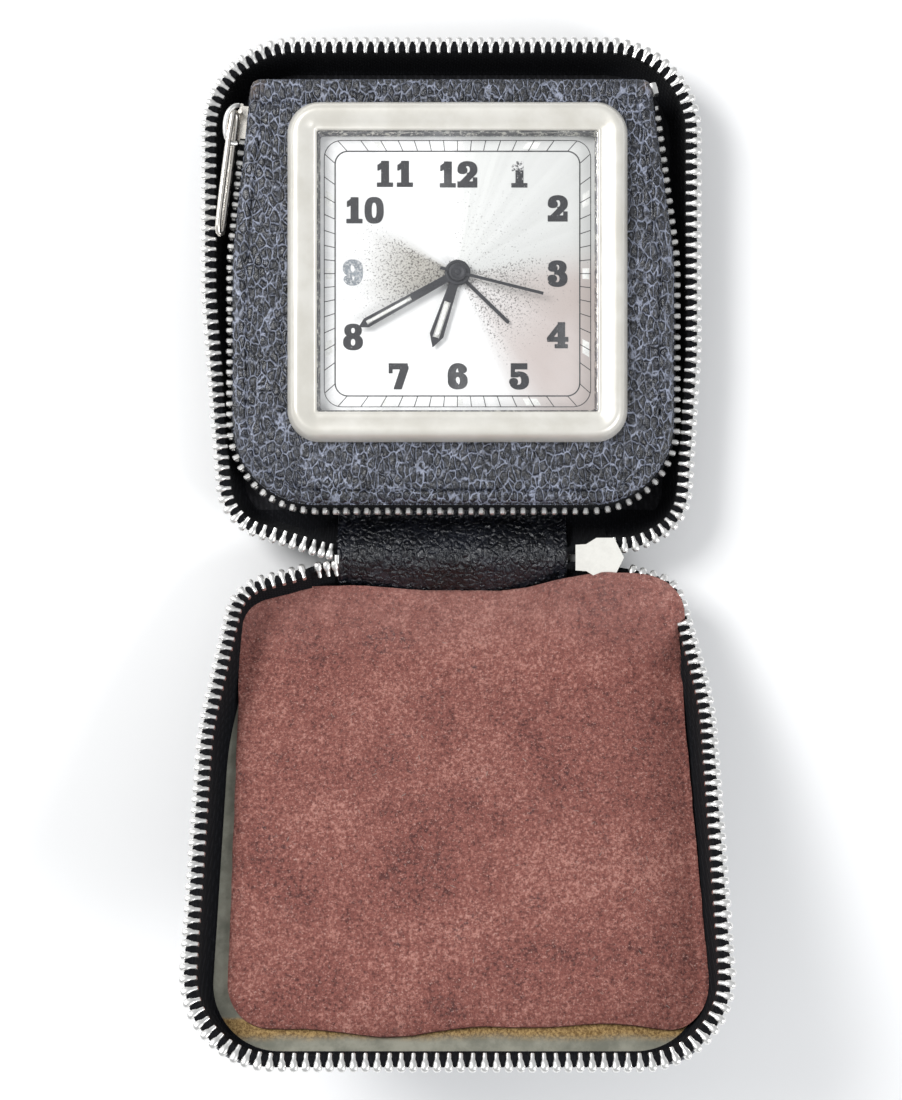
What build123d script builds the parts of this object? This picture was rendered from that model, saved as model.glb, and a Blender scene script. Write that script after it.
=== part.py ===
"""Travel alarm clock in a zip-around leather case, opened flat with its lid tilted up.

The frame has X to the right, Y towards the top of the dial and Z up. The origin is the
centre of the clock half's flat back. All sizes are millimetres.
"""
from build123d import *
import os
from math import acos, cos, degrees, pi, radians, sin

# ---------------------------------------------------------------- driving dimensions
# Stack of the closed case
closed_height = 22.4
plate_leather = 1.1
board_thickness = 1.5
lining_thickness = 0.5
suede_thickness = 1.1

# Arched spine between the two halves
fold_z = 1.1
back_fold_y = -38.5
lid_fold_y = -51.3
lid_tilt = 27.0
spine_left = -19.8
spine_right = 20.2
spine_thickness = 1.0

# Zipper chains
tooth_pitch = 1.8
tooth_width = 0.95
tooth_length = 2.3
tooth_height = 1.5
rim_height = 10.1
rim_top_y = 43.1
rim_side_x = 41.8
lid_centre_x = 1.0
lid_side_x = 41.6
lid_length = 83.2

# Hinged clock panel and its own zipper
panel_left = -37.2
panel_right = 38.0
panel_bottom = -36.3
panel_top = 36.2
panel_face_z = 15.1
hinge_y = 36.5
hinge_z = 10.0
panel_leather_thickness = 0.9
skirt_inset = 0.6
skirt_bottom_z = 10.9
inner_chain_z = 9.6
inner_tooth_length = 1.0
inner_tooth_height = 1.25

# Clock head
head_x = 1.1
head_y = 3.1
bezel_size = 57.6
bezel_opening = 47.4
bezel_corner = 5.4
bezel_bottom_z = 14.1
bezel_top_z = 18.2
case_size = 53.6
case_wall = 0.5
case_bottom_z = 6.0
dial_z = 14.0
dial_thickness = 0.3
crystal_z = 16.6
crystal_thickness = 0.9
running_clearance = 0.05

# Hands, as clockwise angles from twelve
hour_angle = 198.5
minute_angle = 241.0
seconds_angle = 104.0
alarm_angle = 134.0
hour_length = 13.4
minute_length = 19.2
seconds_length = 15.0
alarm_length = 12.1

# Arbors of the movement, measured from the dial centre
centre_arbor = (head_x, head_y)
barrel_arbor = (head_x - 10.6, head_y - 7.4)
alarm_arbor = (head_x + 12.0, head_y + 14.0)
third_arbor = (head_x, head_y + 7.15)
escape_arbor = (head_x + 6.9, head_y - 2.6)
fork_arbor = (head_x + 12.6, head_y - 5.6)
balance_arbor = (head_x + 17.6, head_y - 11.2)
hammer_arbor = (head_x + 21.5, head_y + 0.5)
alarm_set_arbor = (head_x - 1.0, head_y - 19.0)
stop_button_place = (head_x - 17.0, head_y + 13.0)
pillar_reach = 23.0
back_plate_z = 6.9
front_plate_z = 12.6
movement_plate_thickness = 0.6

# ---------------------------------------------------------------- derived places
half_span = (back_fold_y - lid_fold_y) / 2
flap_length = (closed_height - 2 * fold_z) / 2
arch_angle = degrees(acos(half_span / flap_length))
crest_y = back_fold_y - half_span
crest_z = fold_z + flap_length * sin(radians(arch_angle))
board_z = plate_leather
lining_z = board_z + board_thickness
tape_foot_z = lining_z
lid_inner_z = plate_leather + board_thickness
lid_plane = Plane(origin=(0, lid_fold_y, fold_z), x_dir=(1, 0, 0),
                  z_dir=(0, sin(radians(lid_tilt)), cos(radians(lid_tilt))))


def lid_level(height):
    """Plane parallel to the lid, at a height above the lid's outer face."""
    return lid_plane.offset(height - fold_z)


def save(piece, name):
    """Label a finished piece and write its STEP file."""
    piece.part.label = name
    export_step(piece.part, f"parts/{name}.step")


# ---------------------------------------------------------------- outlines
# Main chain on the clock half, clockwise from its left end beside the spine
back_rim_corners = [(-24.6, -43.2), (-38.8, -39.0), (-rim_side_x, 0), (-rim_side_x, rim_top_y),
                    (rim_side_x, rim_top_y), (rim_side_x, -10), (39.9, -39.2), (31.5, -43.1),
                    (27.0, -43.1)]
back_rim_radii = [9, 60, 15, 15, 60, 9, 8]

# Main chain on the lid in the lid's own plane, clockwise from its right end
lid_left_x = lid_centre_x - lid_side_x
lid_right_x = lid_centre_x + lid_side_x
lid_rim_corners = [(30.4, -0.6), (38.4, -3.2), (lid_right_x, -25), (lid_right_x, -lid_length),
                   (lid_left_x, -lid_length), (lid_left_x, -30), (-36.6, -4.0), (-24.6, -0.5)]
lid_rim_radii = [5, 60, 14, 14, 60, 7]

# The panel's outline below its hinge, clockwise from the top of its right side
shoulder_x = 34.2
shoulder_y = panel_top - 2.0
bend_y = 6.0
panel_corner = 14.0
panel_radii = [40, panel_corner, panel_corner, 40]


def panel_corners(growth=0.0):
    """Corner points of the panel's outline, grown outwards by a margin."""
    return [(shoulder_x + growth, shoulder_y), (panel_right + growth, bend_y),
            (panel_right + growth, panel_bottom - growth),
            (panel_left - growth, panel_bottom - growth),
            (panel_left - growth, bend_y), (-shoulder_x - growth, shoulder_y)]


def rim_path(plane, corners, corner_radii):
    """Open planar wire with a rounded corner at each inner point."""
    with BuildLine(plane) as path:
        FilletPolyline(*corners, radius=corner_radii)
    return path.wires()[0]


def wall_along(path, up, section):
    """Wall swept along a path. The section's points are (inward, up) from the path."""
    start = Plane(origin=path @ 0, x_dir=up, z_dir=path % 0)
    with BuildPart() as wall:
        with BuildSketch(start):
            with BuildLine():
                Polyline(*[(height, inward) for inward, height in section], close=True)
            make_face()
        sweep(path=path)
    return wall


def teeth_along(path, up, length, height, first=0.0, bare_end=0.0):
    """Row of separate metal teeth, clamped on a tape edge that follows the path."""
    count = int((path.length - first - bare_end) // tooth_pitch)
    places = []
    for index in range(count):
        at = (first + (index + 0.5) * tooth_pitch) / path.length
        places.append(Plane(origin=path @ at, x_dir=path % at, z_dir=up))
    with BuildPart() as teeth:
        with Locations(*places):
            Box(tooth_width, length, height)
    return teeth


def plate_outline(corners, corner_radii, inset, fold_edge):
    """Face inside a rim, inset from it and cut straight along the fold edge."""
    with BuildSketch(mode=Mode.PRIVATE) as outline:
        with BuildLine():
            rim = FilletPolyline(*corners, radius=corner_radii)
            Polyline(rim @ 1, ((rim @ 1).X, fold_edge + 20 * fold_side(corners)),
                     ((rim @ 0).X, fold_edge + 20 * fold_side(corners)), rim @ 0)
        make_face()
        offset(amount=-inset)
        with Locations((0, fold_edge + 50 * fold_side(corners))):
            Rectangle(200, 100, mode=Mode.SUBTRACT)
    return outline.sketch


def fold_side(corners):
    """+1 where the fold edge is on the +Y side of the outline, else -1."""
    middle = sum(y for x, y in corners) / len(corners)
    return 1 if corners[0][1] > middle else -1


def plate(plane, face, thickness, edge=0.0):
    """Flat plate from an outline, with softened outer edges where asked."""
    with BuildPart() as sheet:
        with BuildSketch(plane):
            add(face)
        extrude(amount=thickness)
        if edge:
            outer = sheet.faces().sort_by(Axis(plane.origin, plane.z_dir))[0]
            chamfer(outer.edges(), edge)
    return sheet


# ---------------------------------------------------------------- clock half of the case
os.makedirs("parts", exist_ok=True)
up = Vector(0, 0, 1)
back_face = plate_outline(back_rim_corners, back_rim_radii, 1.6, back_fold_y + 0.6)
save(plate(Plane.XY, back_face, plate_leather, edge=0.5), "back_cover")

board_face = plate_outline(back_rim_corners, back_rim_radii, 2.0, back_fold_y + 1.0)
save(plate(Plane.XY.offset(board_z), board_face, board_thickness), "back_board")

with BuildPart() as back_lining:
    with BuildSketch(Plane.XY.offset(lining_z)):
        with Locations((0.4, 0.4)):
            RectangleRounded(62, 66, 8)
    extrude(amount=lining_thickness)
save(back_lining, "back_lining")

# Leather strip that hinges the clock panel to the back along its top
with BuildPart() as panel_hinge:
    with BuildSketch(Plane.XY.offset(lining_z)):
        with Locations((0, hinge_y + 0.2)):
            Rectangle(66, 0.8)
    extrude(amount=hinge_z - 0.5 - lining_z)
save(panel_hinge, "panel_hinge_leather")

# The tape stands on the board, leans out and ends in a lip that carries the teeth
lip_drop = rim_height - tape_foot_z


def tape_section(drop):
    """Section of a zipper tape: a foot, a leaning wall, then upright to its outward lip."""
    return [(2.9, -drop), (2.9, 0.4 - drop), (2.4, 0.4 - drop), (1.05, 3.6 - drop), (1.05, 0.25),
            (0.4, 0.25), (0.4, -0.25), (0.65, -0.25), (0.65, 3.4 - drop), (1.9, -drop)]


back_rim = rim_path(Plane.XY.offset(rim_height), back_rim_corners, back_rim_radii)
save(wall_along(back_rim, up, tape_section(lip_drop)), "main_zip_tape_back")
save(teeth_along(back_rim, up, tooth_length, tooth_height), "main_zip_teeth_back")

# Inner tray around the movement, with the lower half of the panel's zipper
tray_section = [(skirt_inset + 1.4, 2.6 - inner_chain_z), (skirt_inset + 1.4, -1.9),
                (skirt_inset, -1.9), (skirt_inset, 2.6 - inner_chain_z)]
panel_path = rim_path(Plane.XY.offset(inner_chain_z), panel_corners(), panel_radii)
save(wall_along(panel_path, up, tray_section), "inner_tray_wall")

lower_tape_section = [(skirt_inset - 0.05, -4.4), (skirt_inset - 0.05, -0.45),
                      (0.05, -0.45), (0.05, -4.4)]
save(wall_along(panel_path, up, lower_tape_section), "inner_zip_tape_tray")


def inner_teeth(level, first, bare_end=0.0):
    """Row of the panel's zipper, standing just outside the panel's edge."""
    outside = panel_corners(inner_tooth_length / 2 - 0.1)
    path = rim_path(Plane.XY.offset(level), outside, panel_radii)
    return teeth_along(path, up, inner_tooth_length, inner_tooth_height, first, bare_end)


# The lower row stops short of the parked slider, so that the panel opens freely
parked_slider_room = 9.5
lower_teeth_z = inner_chain_z - 0.05 - inner_tooth_height / 2
upper_teeth_z = inner_chain_z + 0.05 + inner_tooth_height / 2
save(inner_teeth(lower_teeth_z, 1.0, parked_slider_room), "inner_zip_teeth_tray")


# ---------------------------------------------------------------- arched spine
def spine_flap(y_start, z_start, direction):
    """Half of the arched leather spine, between two fold lines."""
    fold = radians(arch_angle)
    along = Vector(0, -cos(fold), direction * sin(fold))
    normal = Vector(0, direction * sin(fold), cos(fold))
    start = Vector(0, y_start, z_start)
    gap = 0.8
    with BuildPart() as flap:
        with BuildSketch(Plane.YZ.offset(spine_left)):
            with BuildLine():
                low = start + along * gap - normal * (spine_thickness / 2)
                high = start + along * gap + normal * (spine_thickness / 2)
                reach = along * (flap_length - 2 * gap)
                bulge = normal * 0.3
                Line((low.Y, low.Z), (high.Y, high.Z))
                Line(((low + reach).Y, (low + reach).Z), ((high + reach).Y, (high + reach).Z))
                for edge in (low, high):
                    middle = edge + reach * 0.5 + bulge
                    ThreePointArc((edge.Y, edge.Z), (middle.Y, middle.Z),
                                  ((edge + reach).Y, (edge + reach).Z))
            make_face()
        extrude(amount=spine_right - spine_left)
    return flap


save(spine_flap(back_fold_y, fold_z, 1), "spine_flap_back")
save(spine_flap(crest_y, crest_z, -1), "spine_flap_lid")

# Closed end of the main chain: a stop box with the last teeth of both rows
with BuildPart() as bottom_stop:
    with BuildSketch(Plane.XY.offset(crest_z - 1.3)):
        with Locations((spine_left - 2.1, crest_y)):
            Rectangle(3.0, 1.9)
    extrude(amount=1.4)
    for side in (1, -1):
        with Locations((spine_left - 1.4, crest_y + side * 1.4, crest_z - 1.2),
                       (spine_left - 3.0, crest_y + side * 1.4, crest_z - 1.2)):
            Box(0.8, 1.3, 0.9)
save(bottom_stop, "main_zip_bottom_stop")

# ---------------------------------------------------------------- lid
lid_up = lid_plane.z_dir
lid_face = plate_outline(lid_rim_corners, lid_rim_radii, 1.6, -1.1)
save(plate(lid_level(0), lid_face, plate_leather, edge=0.5), "lid_cover")

lid_board_face = plate_outline(lid_rim_corners, lid_rim_radii, 2.0, -1.4)
save(plate(lid_level(plate_leather), lid_board_face, board_thickness), "lid_board")

suede_centre = (1.9, -38.9)
suede_size = (75.6, 75.8)
suede_corner = 7.0
with BuildPart() as suede_panel:
    with BuildSketch(lid_level(lid_inner_z)):
        add(plate_outline(lid_rim_corners, lid_rim_radii, 3.1, -0.4))
        with Locations(suede_centre):
            RectangleRounded(*suede_size, suede_corner, mode=Mode.INTERSECT)
    extrude(amount=suede_thickness)
save(suede_panel, "suede_panel")

lid_rim = rim_path(lid_level(rim_height), lid_rim_corners, lid_rim_radii)
save(wall_along(lid_rim, lid_up, tape_section(rim_height - lid_inner_z)), "main_zip_tape_lid")
save(teeth_along(lid_rim, lid_up, tooth_length, tooth_height), "main_zip_teeth_lid")

# ---------------------------------------------------------------- main slider
slider_x = 25.4
slider_y = -45.3
slider_floor_z = 7.6
slider_roof_z = 11.25
bail_z = 6.4
with BuildPart() as main_slider:
    with BuildSketch(Plane.XY.offset(slider_roof_z)):
        with BuildLine():
            Polyline((slider_x - 4.0, slider_y + 2.2), (slider_x - 2.2, slider_y + 2.3),
                     (slider_x - 0.4, slider_y + 3.4), (slider_x + 2.6, slider_y + 3.4),
                     (slider_x + 4.3, slider_y), (slider_x + 2.6, slider_y - 3.4),
                     (slider_x - 0.4, slider_y - 3.4), (slider_x - 2.2, slider_y - 2.3),
                     (slider_x - 4.0, slider_y - 2.2), close=True)
        make_face()
    extrude(amount=0.7)
    with BuildSketch(Plane.XY.offset(slider_floor_z)):
        with Locations((slider_x, slider_y - 0.4)):
            RectangleRounded(7.0, 4.0, 1.2)
    extrude(amount=0.7)
    with BuildSketch(Plane.XY.offset(slider_floor_z)):
        with Locations((slider_x - 0.6, slider_y)):
            RectangleRounded(3.4, 1.8, 0.6)
    extrude(amount=slider_roof_z - slider_floor_z)
    with BuildSketch(Plane.XY.offset(bail_z - 0.3)):
        with Locations((slider_x, slider_y - 1.5), (slider_x, slider_y + 1.5)):
            Rectangle(0.9, 0.6)
    extrude(amount=slider_floor_z - bail_z + 0.3)
    with BuildSketch(Plane.XZ.offset(-slider_y - 1.5)):
        with Locations((slider_x, bail_z)):
            Circle(0.3)
    extrude(amount=3.0)
save(main_slider, "main_slider")

# The pull hangs from the bail under the slider and lies back under the spine
pull_length = 17.0
pull_drop = 15.0
pull_plane = Plane(origin=(slider_x, slider_y, bail_z), x_dir=(
    -cos(radians(pull_drop)), 0, -sin(radians(pull_drop))), z_dir=(
    -sin(radians(pull_drop)), 0, cos(radians(pull_drop))))
with BuildPart() as main_pull:
    with BuildSketch(pull_plane.offset(-0.25)):
        with Locations((1.4, 0)):
            Rectangle(2.0, 1.8)
        with Locations((pull_length / 2 + 1.4, 0)):
            RectangleRounded(pull_length, 3.2, 1.4)
    extrude(amount=0.5)
    with BuildSketch(Plane.XZ.offset(-slider_y - 0.9)):
        with Locations((slider_x, bail_z)):
            Circle(0.8)
    extrude(amount=1.8)
    with BuildSketch(Plane.XZ.offset(-slider_y - 2.0)):
        with Locations((slider_x, bail_z)):
            Circle(0.3 + running_clearance)
    extrude(amount=4.0, mode=Mode.SUBTRACT)
save(main_pull, "main_pull_tab")

# ---------------------------------------------------------------- clock panel
with BuildPart() as panel_leather:
    with BuildSketch(Plane.XY.offset(panel_face_z - panel_leather_thickness)):
        with BuildLine():
            side = FilletPolyline(*panel_corners(), radius=panel_radii)
            Polyline(side @ 1, (-33.4, panel_top), (33.4, panel_top), side @ 0)
        make_face()
        with Locations((head_x, head_y)):
            RectangleRounded(bezel_size - 3.0, bezel_size - 3.0, 4.0, mode=Mode.SUBTRACT)
    extrude(amount=panel_leather_thickness)
    outer_edges = panel_leather.faces().sort_by(Axis.Z)[-1].outer_wire().edges()
    chamfer(outer_edges, 0.45)
    with BuildSketch(Plane.XY.offset(hinge_z + 0.5)):
        with Locations((0, panel_top - 0.6)):
            Rectangle(66, 0.8)
    extrude(amount=panel_face_z - panel_leather_thickness - hinge_z - 0.5)
save(panel_leather, "panel_leather")

with BuildPart() as panel_board:
    with BuildSketch(Plane.XY.offset(skirt_bottom_z + 1.4)):
        with BuildLine():
            side = FilletPolyline(*panel_corners(), radius=panel_radii)
            Polyline(side @ 1, (-33.0, panel_top - 1), (33.0, panel_top - 1), side @ 0)
        make_face()
        offset(amount=-2.1)
        with Locations((head_x, head_y)):
            Rectangle(case_size + 0.6, case_size + 0.6, mode=Mode.SUBTRACT)
    extrude(amount=1.9)
save(panel_board, "panel_board")

skirt_section = [(skirt_inset + 1.2, skirt_bottom_z - inner_chain_z), (skirt_inset, 1.3),
                 (skirt_inset, panel_face_z - panel_leather_thickness - inner_chain_z),
                 (skirt_inset + 1.2, panel_face_z - panel_leather_thickness - inner_chain_z)]
save(wall_along(panel_path, up, skirt_section), "panel_side_leather")

upper_tape_section = [(skirt_inset - 0.05, 0.45), (skirt_inset - 0.05, 3.4),
                      (0.05, 3.4), (0.05, 0.45)]
save(wall_along(panel_path, up, upper_tape_section), "inner_zip_tape_panel")

# The upper row ends at a metal stop on the right
with BuildPart() as panel_teeth:
    add(inner_teeth(upper_teeth_z, 1.0 + tooth_pitch / 2).part)
    with BuildSketch(Plane.XY.offset(inner_chain_z + 0.4)):
        with Locations((shoulder_x + 0.6, shoulder_y + 1.0)):
            RectangleRounded(1.5, 2.2, 0.3)
    extrude(amount=2.2)
save(panel_teeth, "inner_zip_teeth_panel")

# ---------------------------------------------------------------- bezel, glass and dial
with BuildPart() as bezel:
    with BuildSketch(Plane.XY.offset(bezel_bottom_z + 1.0)):
        with Locations((head_x, head_y)):
            RectangleRounded(bezel_size, bezel_size, bezel_corner)
    extrude(amount=bezel_top_z - bezel_bottom_z - 1.0)
    fillet(bezel.faces().sort_by(Axis.Z)[-1].edges(), 1.6)
    with BuildSketch(Plane.XY.offset(bezel_bottom_z)):
        with Locations((head_x, head_y)):
            RectangleRounded(case_size, case_size, 3.0)
    extrude(amount=1.0)
    with BuildSketch(Plane.XY.offset(bezel_bottom_z)):
        with Locations((head_x, head_y)):
            Rectangle(bezel_opening, bezel_opening)
    extrude(amount=6, mode=Mode.SUBTRACT)
    with BuildSketch(Plane.XY.offset(crystal_z - 0.1)):
        with Locations((head_x, head_y)):
            Rectangle(bezel_opening + 1.2, bezel_opening + 1.2)
    extrude(amount=crystal_thickness + 0.1, mode=Mode.SUBTRACT)
save(bezel, "bezel")


def square_plate(size, corner, z, thickness, bores=()):
    """Square plate centred on the dial, with round holes as (place, radius)."""
    with BuildPart() as sheet:
        with BuildSketch(Plane.XY.offset(z)):
            with Locations((head_x, head_y)):
                RectangleRounded(size, size, corner)
            for place, hole_radius in bores:
                with Locations(place):
                    Circle(hole_radius, mode=Mode.SUBTRACT)
        extrude(amount=thickness)
    return sheet


save(square_plate(bezel_opening + 1.1, 0.5, crystal_z, crystal_thickness - 0.1), "crystal")
save(square_plate(case_size - 2.4, 2.0, dial_z - 0.3, dial_thickness, [(centre_arbor, 1.5)]), "dial")

# ---------------------------------------------------------------- movement case
with BuildPart() as movement_case:
    with BuildSketch(Plane.XY.offset(case_bottom_z + 0.6)):
        with Locations((head_x, head_y)):
            RectangleRounded(case_size, case_size, 3.0)
            RectangleRounded(case_size - 2 * case_wall, case_size - 2 * case_wall, 2.5,
                             mode=Mode.SUBTRACT)
    extrude(amount=bezel_bottom_z - case_bottom_z - 0.6)
save(movement_case, "movement_case")

key_bore = 0.8 + running_clearance
knob_bore = 1.0 + running_clearance
rear_bores = [(barrel_arbor, key_bore), (alarm_arbor, key_bore), (centre_arbor, knob_bore),
              (alarm_set_arbor, knob_bore), (stop_button_place, knob_bore)]
save(square_plate(case_size, 3.0, case_bottom_z, 0.6, rear_bores), "rear_cover")

with BuildPart() as cover_screws:
    with BuildSketch(Plane.XY.offset(case_bottom_z - 0.7)):
        with Locations((head_x, head_y)):
            with GridLocations(2 * pillar_reach, 2 * pillar_reach, 2, 2):
                Circle(1.5)
    extrude(amount=0.7)
    with BuildSketch(Plane.XY.offset(case_bottom_z - 0.7)):
        with Locations((head_x, head_y)):
            with GridLocations(2 * pillar_reach, 2 * pillar_reach, 2, 2):
                Rectangle(2.4, 0.4)
    extrude(amount=0.3, mode=Mode.SUBTRACT)
save(cover_screws, "rear_cover_screws")

pivot_bore = 0.5 + running_clearance
back_bores = [(barrel_arbor, key_bore), (alarm_arbor, key_bore), (third_arbor, pivot_bore),
              (escape_arbor, pivot_bore), (fork_arbor, pivot_bore), (balance_arbor, pivot_bore),
              (hammer_arbor, pivot_bore), (alarm_set_arbor, knob_bore),
              (centre_arbor, pivot_bore), (stop_button_place, knob_bore)]
front_bores = [(centre_arbor, 1.0 + running_clearance), (third_arbor, pivot_bore),
               (escape_arbor, pivot_bore), (fork_arbor, pivot_bore),
               (balance_arbor, pivot_bore), (hammer_arbor, pivot_bore),
               (barrel_arbor, key_bore), (alarm_arbor, key_bore), (alarm_set_arbor, knob_bore)]
movement_plate_size = 2 * pillar_reach + 4.6
save(square_plate(movement_plate_size, 2.0, back_plate_z, movement_plate_thickness, back_bores),
     "movement_back_plate")
save(square_plate(movement_plate_size, 2.0, front_plate_z, movement_plate_thickness, front_bores),
     "movement_front_plate")


def corner_rounds(z, height, radius):
    """Four short cylinders at the corners of the movement."""
    with BuildPart() as rounds:
        with BuildSketch(Plane.XY.offset(z)):
            with Locations((head_x, head_y)):
                with GridLocations(2 * pillar_reach, 2 * pillar_reach, 2, 2):
                    Circle(radius)
        extrude(amount=height)
    return rounds


pillar_z = back_plate_z + movement_plate_thickness
save(corner_rounds(pillar_z, front_plate_z - pillar_z, 1.2), "movement_pillars")
save(corner_rounds(front_plate_z + movement_plate_thickness, 0.4, 1.3), "pillar_nuts")


# ---------------------------------------------------------------- wheels of the movement
def wheel(place, steps, bore=0.0, toothed=None):
    """Turned part on an arbor. Each step is (bottom, top, radius); one step may be toothed."""
    with BuildPart() as turned:
        for number, (bottom, top, radius) in enumerate(steps):
            with BuildSketch(Plane.XY.offset(bottom)):
                with Locations(place):
                    if toothed and toothed[0] == number:
                        Circle(radius - 0.5)
                        with PolarLocations(radius - 0.45, toothed[1]):
                            Rectangle(0.9, pi * radius / toothed[1])
                        if radius > 5:
                            with PolarLocations(radius * 0.55, 5):
                                Circle(radius * 0.2, mode=Mode.SUBTRACT)
                    else:
                        Circle(radius)
            extrude(amount=top - bottom)
        if bore:
            with BuildSketch(Plane.XY.offset(min(step[0] for step in steps) - 1)):
                with Locations(place):
                    Circle(bore)
            extrude(amount=20, mode=Mode.SUBTRACT)
    return turned


pivot_top = front_plate_z + movement_plate_thickness
seconds_top_z = 16.1
save(wheel(centre_arbor, [(7.7, 8.1, 6.0), (back_plate_z + 0.2, seconds_top_z, 0.35),
                          (8.1, 8.8, 0.85)], toothed=(0, 60)), "fourth_wheel")
save(wheel(centre_arbor, [(11.5, 11.9, 6.2), (8.95, 9.5, 1.8), (9.5, pivot_top - 0.1, 0.7)],
           bore=0.35 + running_clearance, toothed=(0, 64)), "centre_wheel")
save(wheel(third_arbor, [(8.3, 8.7, 6.2), (back_plate_z, pivot_top, 0.5), (11.3, 12.1, 0.85)],
           toothed=(0, 60)), "third_wheel")
save(wheel(escape_arbor, [(9.7, 10.0, 3.6), (back_plate_z, pivot_top, 0.5), (7.65, 8.2, 0.8)],
           toothed=(0, 15)), "escape_wheel")

drum_bottom = 9.45
drum_top = 11.2
with BuildPart() as barrel:
    with BuildSketch(Plane.XY.offset(8.95)):
        with Locations(barrel_arbor):
            Circle(10.5)
            with PolarLocations(10.6, 66):
                Rectangle(0.8, 0.5)
            Circle(0.8 + running_clearance, mode=Mode.SUBTRACT)
    extrude(amount=0.5)
    with BuildSketch(Plane.XY.offset(drum_bottom)):
        with Locations(barrel_arbor):
            Circle(8.6)
            Circle(8.2, mode=Mode.SUBTRACT)
    extrude(amount=drum_top - drum_bottom)
save(barrel, "mainspring_barrel")

with BuildPart() as alarm_barrel:
    with BuildSketch(Plane.XY.offset(8.95)):
        with Locations(alarm_arbor):
            Circle(7.8)
            with PolarLocations(7.9, 48):
                Rectangle(0.8, 0.5)
            Circle(0.8 + running_clearance, mode=Mode.SUBTRACT)
    extrude(amount=0.5)
    with BuildSketch(Plane.XY.offset(drum_bottom)):
        with Locations(alarm_arbor):
            Circle(6.4)
            Circle(6.0, mode=Mode.SUBTRACT)
    extrude(amount=drum_top - drum_bottom)
save(alarm_barrel, "alarm_barrel")


def coiled_spring(place, inner, outer, turns, z, height, strip):
    """Flat spiral spring of a constant strip thickness."""
    growth = (outer - inner) / turns
    with BuildPart() as coil:
        with BuildSketch(Plane.XY.offset(z)):
            with Locations(place):
                for turn in range(turns):
                    start = inner + growth * turn
                    with BuildSketch(mode=Mode.PRIVATE) as ring:
                        Circle(start + strip)
                        Circle(start, mode=Mode.SUBTRACT)
                    add(ring.sketch)
                Rectangle(2 * (outer - growth + strip), strip)
                Circle(inner, mode=Mode.SUBTRACT)
        extrude(amount=height)
    return coil


save(coiled_spring(barrel_arbor, 1.2, 8.0, 8, drum_bottom + 0.1, 1.5, 0.3), "mainspring")
save(coiled_spring(alarm_arbor, 1.2, 5.8, 6, drum_bottom + 0.1, 1.5, 0.3), "alarm_spring")
save(coiled_spring(balance_arbor, 0.75, 3.4, 5, 11.6, 0.3, 0.14), "hairspring")

with BuildPart() as pallet_fork:
    with BuildSketch(Plane.XY.offset(9.7)):
        with Locations(fork_arbor):
            Circle(1.0)
            with Locations((-0.2, 1.6), (-1.0, -1.4)):
                Rectangle(0.9, 2.2)
    extrude(amount=0.3)
    with BuildSketch(Plane.XY.offset(back_plate_z)):
        with Locations(fork_arbor):
            Circle(0.5)
    extrude(amount=pivot_top - back_plate_z)
save(pallet_fork, "pallet_fork")

with BuildPart() as balance_wheel:
    with BuildSketch(Plane.XY.offset(10.5)):
        with Locations(balance_arbor):
            Circle(5.2)
            Circle(4.3, mode=Mode.SUBTRACT)
            Rectangle(9.0, 0.9)
            Circle(1.0)
    extrude(amount=0.6)
    with BuildSketch(Plane.XY.offset(back_plate_z)):
        with Locations(balance_arbor):
            Circle(0.5)
    extrude(amount=pivot_top - back_plate_z)
save(balance_wheel, "balance_wheel")

with BuildPart() as alarm_hammer:
    with BuildSketch(Plane.XY.offset(11.9)):
        with Locations(hammer_arbor):
            Circle(1.0)
            with Locations((0, 4.0)):
                Rectangle(0.8, 8.0)
            with Locations((0.6, 8.6)):
                Circle(1.2)
    extrude(amount=0.5)
    with BuildSketch(Plane.XY.offset(back_plate_z)):
        with Locations(hammer_arbor):
            Circle(0.5)
    extrude(amount=pivot_top - back_plate_z)
save(alarm_hammer, "alarm_hammer")

# ---------------------------------------------------------------- motion work and hands
hour_tube_inner = 0.75 + running_clearance
save(wheel(centre_arbor, [(13.3, 15.6, 0.75)], bore=0.35 + running_clearance), "cannon_pinion")
save(wheel(centre_arbor, [(13.25, 13.45, 4.6), (13.45, 15.1, 1.05)], bore=hour_tube_inner,
           toothed=(0, 32)), "hour_wheel")
save(wheel(centre_arbor, [(13.5, 13.65, 3.6), (13.65, 14.6, 1.4)], bore=1.05 + running_clearance,
           toothed=(0, 28)), "alarm_wheel")


def hand_plane(angle, z):
    """Plane at the dial centre whose Y axis points along a hand."""
    turned = radians(angle)
    return Plane(origin=(head_x, head_y, z), x_dir=(cos(turned), -sin(turned), 0), z_dir=(0, 0, 1))


def baton_hand(angle, z, length, root, widest, slot, hub, bore):
    """Pointed hand with an open slot for luminous paint."""
    slot_from, slot_to, slot_width = slot
    shoulder = length - widest * 0.9
    with BuildPart() as hand:
        with BuildSketch(hand_plane(angle, z)):
            with BuildLine():
                Polyline((-root / 2, 0), (-widest / 2, shoulder), (0, length),
                         (widest / 2, shoulder), (root / 2, 0), close=True)
            make_face()
            Circle(hub)
            with Locations((0, (slot_from + slot_to) / 2)):
                Rectangle(slot_width, slot_to - slot_from, mode=Mode.SUBTRACT)
            Circle(bore, mode=Mode.SUBTRACT)
        extrude(amount=0.2)
    return hand


def needle_hand(angle, z, length, width, hub, bore, tail=0.0):
    """Thin straight hand."""
    with BuildPart() as hand:
        with BuildSketch(hand_plane(angle, z)):
            with Locations((0, (length - tail) / 2)):
                Rectangle(width, length + tail)
            Circle(hub)
            Circle(bore, mode=Mode.SUBTRACT)
        extrude(amount=0.15)
    return hand


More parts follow.
